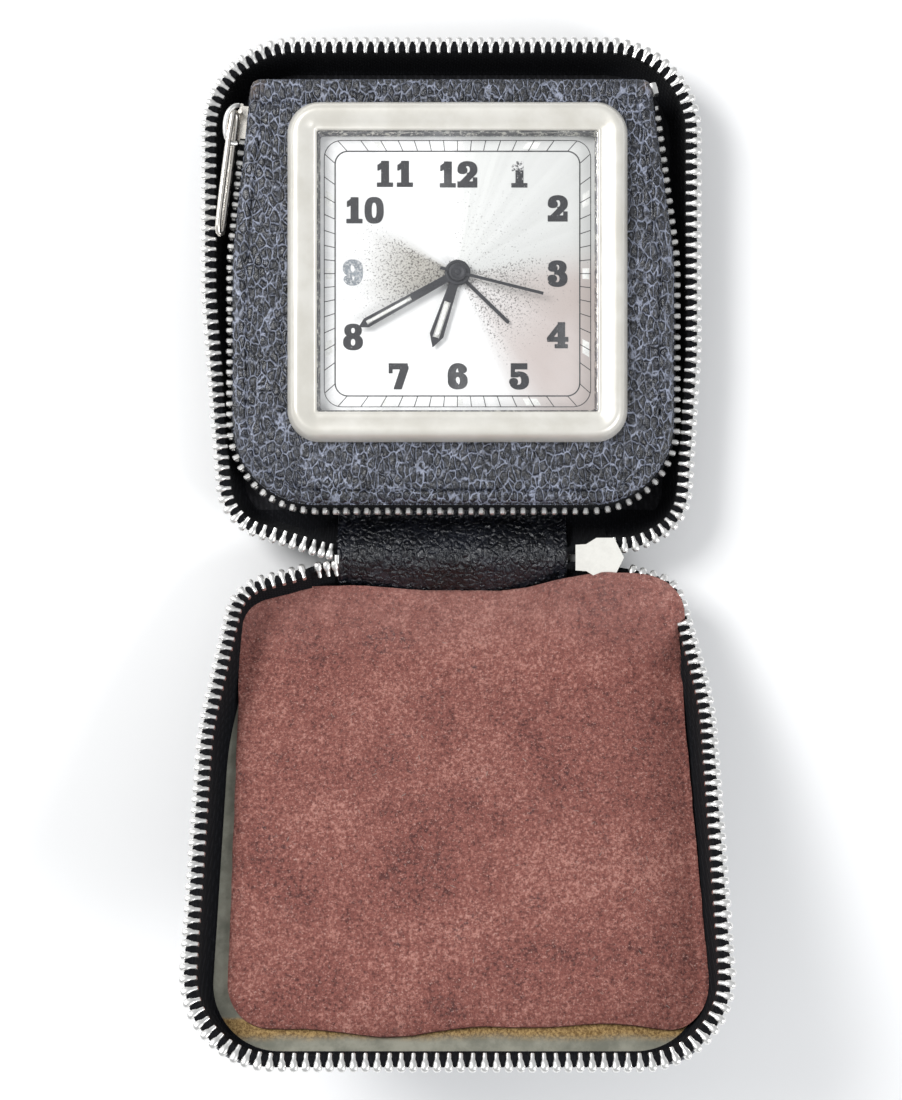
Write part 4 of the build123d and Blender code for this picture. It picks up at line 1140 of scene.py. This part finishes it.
def minute_track():
    """Two rounded lines with sixty ticks between them, and painted five-minute blocks."""
    ink_z = DIAL_Z + 0.035
    lines = []
    for size, corner, width in ((TRACK_OUT, 3.0, 0.13), (TRACK_IN, 2.2, 0.22)):
        outline = [p[:2] for p in ring_points(size, corner, 0, 10)]
        lines.append(ribbon(outline, width, ink_z))
    for minute in range(60):
        inner = on_square(minute * 6, TRACK_IN, 2.2)
        outer = on_square(minute * 6, TRACK_OUT, 3.0)
        lines.append(ribbon([inner, outer], 0.13, ink_z, closed=False))
    joined("minute_track", lines, fine_ink, "clock_panel")
    blocks = []
    for hour in range(12):
        at = hour * 30
        inner, outer = (TRACK_IN + 0.9, 2.4), (TRACK_OUT - 0.5, 3.0)
        spots = [on_square(at + off, *edge) for off, edge in
                 ((-2.4, inner), (-2.4, outer), (2.4, outer), (2.4, inner))]
        flat = [(*p, z) for z in (DIAL_Z + 0.02, DIAL_Z + 0.002) for p in spots]
        faces = [(0, 1, 2, 3), (7, 6, 5, 4)] + [(k, (k + 1) % 4, 4 + (k + 1) % 4, 4 + k)
                                                for k in range(4)]
        blocks.append((flat, faces))
    joined("five_minute_blocks", blocks, pale_ink, "clock_panel")


minute_track()


# Numerals: a heavy slab-serif face. Each field takes x, y in a box of height 1 centred on 0
def bar(x, y, low, high):
    return np.maximum(np.maximum(low[0] - x, x - high[0]), np.maximum(low[1] - y, y - high[1]))


def oval(x, y, centre, radii, power=2.3):
    u, v = np.abs(x - centre[0]) / radii[0], np.abs(y - centre[1]) / radii[1]
    return ((u ** power + v ** power) ** (1 / power) - 1) * min(radii)


def bowl(x, y, centre, outer, inner, power=2.3):
    return np.maximum(oval(x, y, centre, outer, power), -oval(x, y, centre, inner, power))


def slash(x, y, start, end, width):
    dx, dy = end[0] - start[0], end[1] - start[1]
    share = np.clip(((x - start[0]) * dx + (y - start[1]) * dy) / (dx * dx + dy * dy), 0, 1)
    return np.hypot(x - start[0] - share * dx, y - start[1] - share * dy) - width / 2


def union(*fields):
    return np.minimum.reduce(fields)


def one(x, y):
    flag = np.maximum(slash(x, y, (-0.27, 0.24), (0.0, 0.42), 0.17), -0.27 - x)
    return union(bar(x, y, (-0.12, -0.5), (0.15, 0.5)), bar(x, y, (-0.29, -0.5), (0.31, -0.37)),
                 flag)


def two(x, y):
    ring = bowl(x, y, (0.0, 0.2), (0.37, 0.31), (0.12, 0.17))
    upper = union(0.2 - y, np.maximum(0.04 - y, -x), np.maximum(0.02 - y, 0.02 - x))
    return union(np.maximum(ring, upper), oval(x, y, (-0.2, 0.17), (0.17, 0.13)),
                 np.maximum(slash(x, y, (0.22, 0.06), (-0.24, -0.4), 0.2), -0.5 - y),
                 bar(x, y, (-0.38, -0.5), (0.37, -0.3)), bar(x, y, (0.24, -0.5), (0.37, -0.14)))


def three(x, y):
    upper = np.maximum(bowl(x, y, (-0.02, 0.25), (0.34, 0.26), (0.1, 0.14)), union(-x, 0.34 - y))
    lower = np.maximum(bowl(x, y, (-0.02, -0.2), (0.38, 0.31), (0.11, 0.18)), union(-x, y + 0.36))
    return union(upper, lower, oval(x, y, (-0.2, 0.22), (0.16, 0.12)),
                 oval(x, y, (-0.22, -0.2), (0.16, 0.13)), bar(x, y, (-0.12, -0.02), (0.12, 0.1)))


def four(x, y):
    return union(bar(x, y, (0.02, -0.5), (0.27, 0.5)), bar(x, y, (-0.1, -0.5), (0.38, -0.38)),
                 bar(x, y, (-0.4, -0.24), (0.4, -0.09)),
                 np.maximum(slash(x, y, (0.08, 0.4), (-0.34, -0.14), 0.15), y - 0.5))


def five(x, y):
    round_part = np.maximum(bowl(x, y, (0.0, -0.17), (0.37, 0.34), (0.11, 0.2)),
                            union(-x, y + 0.36, 0.06 - y))
    return union(round_part, bar(x, y, (-0.31, 0.3), (0.31, 0.5)),
                 bar(x, y, (-0.31, 0.0), (-0.19, 0.5)), oval(x, y, (-0.22, -0.22), (0.15, 0.13)),
                 bar(x, y, (-0.31, -0.02), (-0.05, 0.1)))


def six(x, y):
    back = np.maximum(bowl(x, y, (0.02, 0.02), (0.39, 0.48), (0.12, 0.37)), union(x, 0.33 - y))
    return union(bowl(x, y, (0.01, -0.18), (0.37, 0.32), (0.11, 0.2)), back,
                 oval(x, y, (0.2, 0.27), (0.15, 0.12)))


def seven(x, y):
    return union(bar(x, y, (-0.36, 0.3), (0.36, 0.5)), bar(x, y, (-0.36, 0.14), (-0.25, 0.5)),
                 np.maximum(slash(x, y, (0.26, 0.34), (-0.02, -0.5), 0.27), -0.5 - y))


def eight(x, y):
    return union(bowl(x, y, (0.0, 0.26), (0.32, 0.25), (0.1, 0.14)),
                 bowl(x, y, (0.0, -0.21), (0.37, 0.3), (0.11, 0.17)))


def nine(x, y):
    return six(-x, -y)


def nought(x, y):
    return bowl(x, y, (0.0, 0.0), (0.36, 0.5), (0.12, 0.38), 2.6)


DIGITS = [nought, one, two, three, four, five, six, seven, eight, nine]
NUMERAL_HEIGHT = 4.25
STROKE_GROWTH = 0.1
NUMERAL_PLACES = {12: (0.0, 16.9), 1: (10.5, 16.9), 2: (17.1, 11.1), 3: (17.1, 0.0),
                  4: (17.1, -10.5), 5: (10.5, -17.5), 6: (0.0, -17.5), 7: (-10.1, -17.5),
                  8: (-17.8, -10.8), 9: (-17.8, 0.2), 10: (-15.9, 10.8), 11: (-10.7, 17.0)}


def numerals():
    """Raised ink figures, one piece for each hour."""
    for hour, (x, y) in NUMERAL_PLACES.items():
        figures = [int(c) for c in str(hour)]
        spread = 0.8 * NUMERAL_HEIGHT
        parts = []
        for order, figure in enumerate(figures):
            shift = (order - (len(figures) - 1) / 2) * spread

            def field(spots, figure=figure):
                unit = spots / NUMERAL_HEIGHT
                return DIGITS[figure](unit[:, 0], unit[:, 1]) * NUMERAL_HEIGHT - STROKE_GROWTH

            cut = cut_out(field, (-2.1, -2.4), (2.1, 2.4), 0.075)
            moved = cut[0] + np.array([x + shift + HEAD[0], y + HEAD[1]])
            solid = [(*p, z) for z in (DIAL_Z + 0.06, DIAL_Z + 0.002) for p in moved]
            parts.append((solid, thick(cut)))
        look = {9: faded_ink, 1: flaked_ink}.get(hour, ink)
        joined(f"numeral_{hour}", parts, look, "clock_panel")


numerals()


# ---------------------------------------------------------------- hands
def lume_strip(name, angle, z, start, end, width, body):
    """Luminous paint in the slot of a hand, a little domed. angle is clockwise from twelve."""
    a = radians(angle)
    across, along = np.array([cos(a), -sin(a)]), np.array([sin(a), cos(a)])
    points = []
    sections = 9
    for k in range(sections):
        s = start + (end - start) * k / (sections - 1)
        narrow = 1 if 0 < k < sections - 1 else 0.75
        for side, lift in ((-1, 0.0), (-0.5, 0.1), (0, 0.13), (0.5, 0.1), (1, 0.0)):
            p = np.array(HEAD) + along * s + across * side * width / 2 * narrow
            points.append((*p, z + lift))
    points += [(x, y, z - 0.05) for x, y, _ in points]
    piece(name, points, two_sheets(sections, 5), lume, body)


lume_strip("hour_hand_lume", 198.5, 14.85, 5.25, 11.55, 0.95, "hour_hand")
lume_strip("minute_hand_lume", 241.0, 15.25, 9.05, 17.55, 0.66, "minute_hand")


def turned_cap(name, profile, body, around=36):
    """Painted turned part on the dial's centre, from (radius, height) points."""
    points = [(HEAD[0] + r * cos(2 * pi * k / around), HEAD[1] + r * sin(2 * pi * k / around), z)
              for r, z in profile for k in range(around)]
    return piece(name, points, tube(len(profile), around), hand_paint, body, sharp=45)


turned_cap("seconds_hub_cap", [(1.45, 15.92), (1.5, 16.0), (1.42, 16.12), (1.15, 16.16),
                               (1.05, 16.08), (0.5, 16.12), (0.42, 16.24), (0.2, 16.28),
                               (0.05, 16.28)], "fourth_wheel")
turned_cap("minute_hub_ring", [(1.5, 15.42), (2.02, 15.42), (2.08, 15.5), (1.9, 15.58),
                               (1.62, 15.56), (1.5, 15.5)], "minute_hand")

# ---------------------------------------------------------------- lid: suede and glue
SUEDE_FOOT = TAPE_FOOT + 0.03
SUEDE_THICKNESS = 1.02


def eased(value):
    """0 to 1 as value goes from 0 to 1, starting and ending softly."""
    share = np.clip(value, 0, 1)
    return share ** 2 * (3 - 2 * share)


def suede_outline():
    """Closed outline of the suede: a little askew, with a wavy far edge."""
    half, lean = 38.0, 0.022
    outline = rounded([(-half, -0.9), (4.0, -0.9), (half + 0.7, -2.5), (half, -22.0),
                       (half, -77.0), (-half, -77.0)],
                      [9.0, 60.0, 7.5, 60.0, 8.0, 7.0], 0.7, closed=True)[0]
    outline[:, 0] += 1.15 - lean * outline[:, 1]
    far = np.clip((-outline[:, 1] - 60) / 17, 0, 1) ** 3
    waves = 0.75 * np.sin(outline[:, 0] * 0.105 - 0.35) + 0.35 * np.sin(outline[:, 0] * 0.26 + 1.0)
    outline[:, 1] += far * waves
    outline[:, 0] += 0.12 * swell(outline, 5.0, 12.0)
    outline[:, 1] += 0.12 * swell(outline, 5.0, 15.0)
    return outline


def suede_sheet():
    """Suede panel glued on the board, its rim lifted by the tape and one corner curled up."""
    outline = suede_outline()
    rim_outline = np.vstack([lid_rim[0], [(0.0, 0.1), (0.0, 8.0), (30.4, 8.0)]])
    curl_height = 9.2

    def curl(spots):
        """How far the near right corner is curled up, from 0 to 1."""
        return eased((spots[:, 0] - 7.0) / 21.0) * eased((spots[:, 1] + 20.0) / 14.0)

    def field(spots):
        over_chain = 4.0 * np.clip((curl(spots) - 0.75) / 0.2, 0, 1)
        to_wall = signed_distance(rim_outline, spots) + 1.0
        bound = np.where(spots[:, 0] < 0, to_wall,
                         np.where(spots[:, 0] > 30, to_wall + 0.2 - over_chain, -9.0))
        return np.maximum(signed_distance(outline, spots), bound)

    cut = cut_out(field, (-39.5, -79.5), (43.5, 0.9), 0.34)
    spots = cut[0]
    depth = -field(spots)
    nap = (0.07 * swell(spots, 0.9, 20.0) + 0.06 * swell(spots, 3.0, 22.0)
           + 0.07 * swell(spots, 11.0, 24.0))
    rounding = 0.3 * np.exp(-depth / 0.35)
    wall = signed_distance(rim_outline, spots) + 2.9
    lifted = (0.55 + 0.55 * np.clip((spots[:, 1] + 16) / 8, 0, 1)) * np.clip(wall + 0.6, 0, 3.2)
    beside_spine = eased((-spots[:, 0] - 2.0) / 16.0)
    lifted = np.where(spots[:, 1] > -12, lifted * beside_spine, lifted)
    sagging = (0.35 * np.exp(-depth / 1.8) * np.clip((-spots[:, 1] - 70) / 7, 0, 1)
               * (0.5 + 0.5 * np.sin(spots[:, 0] * 0.3)))
    base = SUEDE_FOOT + np.maximum(lifted, curl_height * curl(spots)) + sagging
    sheet = slab("suede_lining", suede, cut, base, base + SUEDE_THICKNESS - rounding + nap, on_lid,
                 "lid", ["suede_panel"])


suede_sheet()


def lint():
    """Pale fibres and crumbs caught in the suede's nap."""
    height = SUEDE_FOOT + SUEDE_THICKNESS + 0.08
    points, faces = [], []
    fibre, fibre_faces = lofted([(-0.5, 0.03, 0.03, 0.0), (-0.2, 0.06, 0.05, 0.05),
                                 (0.2, 0.06, 0.05, 0.03), (0.5, 0.03, 0.03, 0.0)], 6)
    for _ in range(90):
        x, y = rng.uniform(-34, 36), rng.uniform(-74, -4)
        a = rng.uniform(0, pi)
        size = rng.uniform(0.25, 1.0)
        wide, long = size * fibre[:, 0] * 0.8, size * fibre[:, 1]
        shaped = on_lid(wide * cos(a) - long * sin(a) + x, wide * sin(a) + long * cos(a) + y,
                        fibre[:, 2] + height)
        start = len(points)
        points += list(shaped)
        faces += [tuple(start + k for k in face) for face in fibre_faces]
    piece("suede_lint", points, faces, lint_fibre, "lid")


lint()

# ---------------------------------------------------------------- finishes on CAD nodes
CAD_FINISH = {
    black_leather: ["panel_board"],
    board: ["lid_board"],
    lining_cloth: ["back_board", "back_lining"],
    nickel: ["main_pull_tab"],
    satin_silver: ["main_slider"],
    copper_worn: ["inner_slider"],
    crystal_clear: ["crystal"],
    dial_metal: ["dial"],
    tin: ["movement_case", "rear_cover"],
    steel: ["rear_cover_screws", "movement_pillars", "pillar_nuts", "hairspring", "mainspring",
            "alarm_spring", "pallet_fork", "alarm_hammer", "cannon_pinion"],
    brass: ["movement_back_plate", "movement_front_plate", "mainspring_barrel", "alarm_barrel",
            "centre_wheel", "third_wheel", "fourth_wheel", "escape_wheel", "balance_wheel",
            "hour_wheel", "alarm_wheel"],
    hand_paint: ["alarm_hand", "hour_hand", "minute_hand", "seconds_hand"],
    key_metal: ["time_winding_key", "alarm_winding_key", "time_setting_knob", "alarm_setting_knob",
                "alarm_stop_button"],
}
EDGE_ROUNDING = {"main_slider": 0.35, "inner_slider": 0.15,
                 "main_pull_tab": 0.12, "time_winding_key": 0.25,
                 "alarm_winding_key": 0.25, "rear_cover": 0.2, "alarm_hand": 0.04,
                 "hour_hand": 0.06, "minute_hand": 0.06, "seconds_hand": 0.04, "lid_board": 0.2,
                 "crystal": 0.15, "alarm_stop_button": 0.2}
for look, names in CAD_FINISH.items():
    for name in names:
        node = nodes[name]
        node.data.materials.clear()
        node.data.materials.append(look.material)
for name, size in EDGE_ROUNDING.items():
    bevel = nodes[name].modifiers.new("edge_rounding", "BEVEL")
    bevel.width = size * MM
    bevel.segments = 3
    bevel.limit_method = "ANGLE"
    bevel.angle_limit = radians(35)
    bevel.harden_normals = False

# ---------------------------------------------------------------- floor, light and camera
floor_look = Finish("floor_white", Roughness=0.7)
floor_look.set("Base Color", floor_look.mix(floor_look.noise(60.0, 3.0), (0.9, 0.9, 0.9),
                                            (0.93, 0.93, 0.93)))
floor_mesh = bpy.data.meshes.new("floor")
reach = 1.6
floor_mesh.from_pydata([(-reach, -reach, 0), (reach, -reach, 0), (reach, reach, 0),
                        (-reach, reach, 0)], [], [(0, 1, 2, 3)])
floor_mesh.materials.append(floor_look.material)
floor = bpy.data.objects.new("floor", floor_mesh)
bpy.context.scene.collection.objects.link(floor)

world = bpy.data.worlds.new("studio")
world.use_nodes = True
world.node_tree.nodes["Background"].inputs["Color"].default_value = (0.96, 0.98, 1.0, 1.0)
world.node_tree.nodes["Background"].inputs["Strength"].default_value = 0.5
bpy.context.scene.world = world
bpy.context.scene.view_settings.view_transform = "Standard"


def softbox(name, place, aim, size, power, colour=(1.0, 1.0, 1.0)):
    """Square area light aimed at a point, in metres."""
    lamp = bpy.data.lights.new(name, "AREA")
    lamp.shape = "RECTANGLE"
    lamp.size, lamp.size_y = size
    lamp.energy = power
    lamp.color = colour
    stand = bpy.data.objects.new(name, lamp)
    stand.location = place
    stand.rotation_euler = (Vector(aim) - Vector(place)).to_track_quat("-Z", "Y").to_euler()
    bpy.context.scene.collection.objects.link(stand)


softbox("key", (-0.32, 0.16, 0.42), (0, -0.03, 0), (0.24, 0.24), 2.5)
softbox("fill", (0.38, -0.25, 0.40), (0, -0.05, 0), (0.24, 0.24), 1.5, (0.97, 0.98, 1.0))

camera_data = bpy.data.cameras.new("camera")
camera_data.lens = 55.3
camera_data.sensor_width = 36
camera_data.clip_start = 0.01
camera = bpy.data.objects.new("camera", camera_data)
camera.location = (0.0, -0.044, 0.302)
bpy.context.scene.collection.objects.link(camera)
bpy.context.scene.camera = camera

bpy.context.view_layer.update()
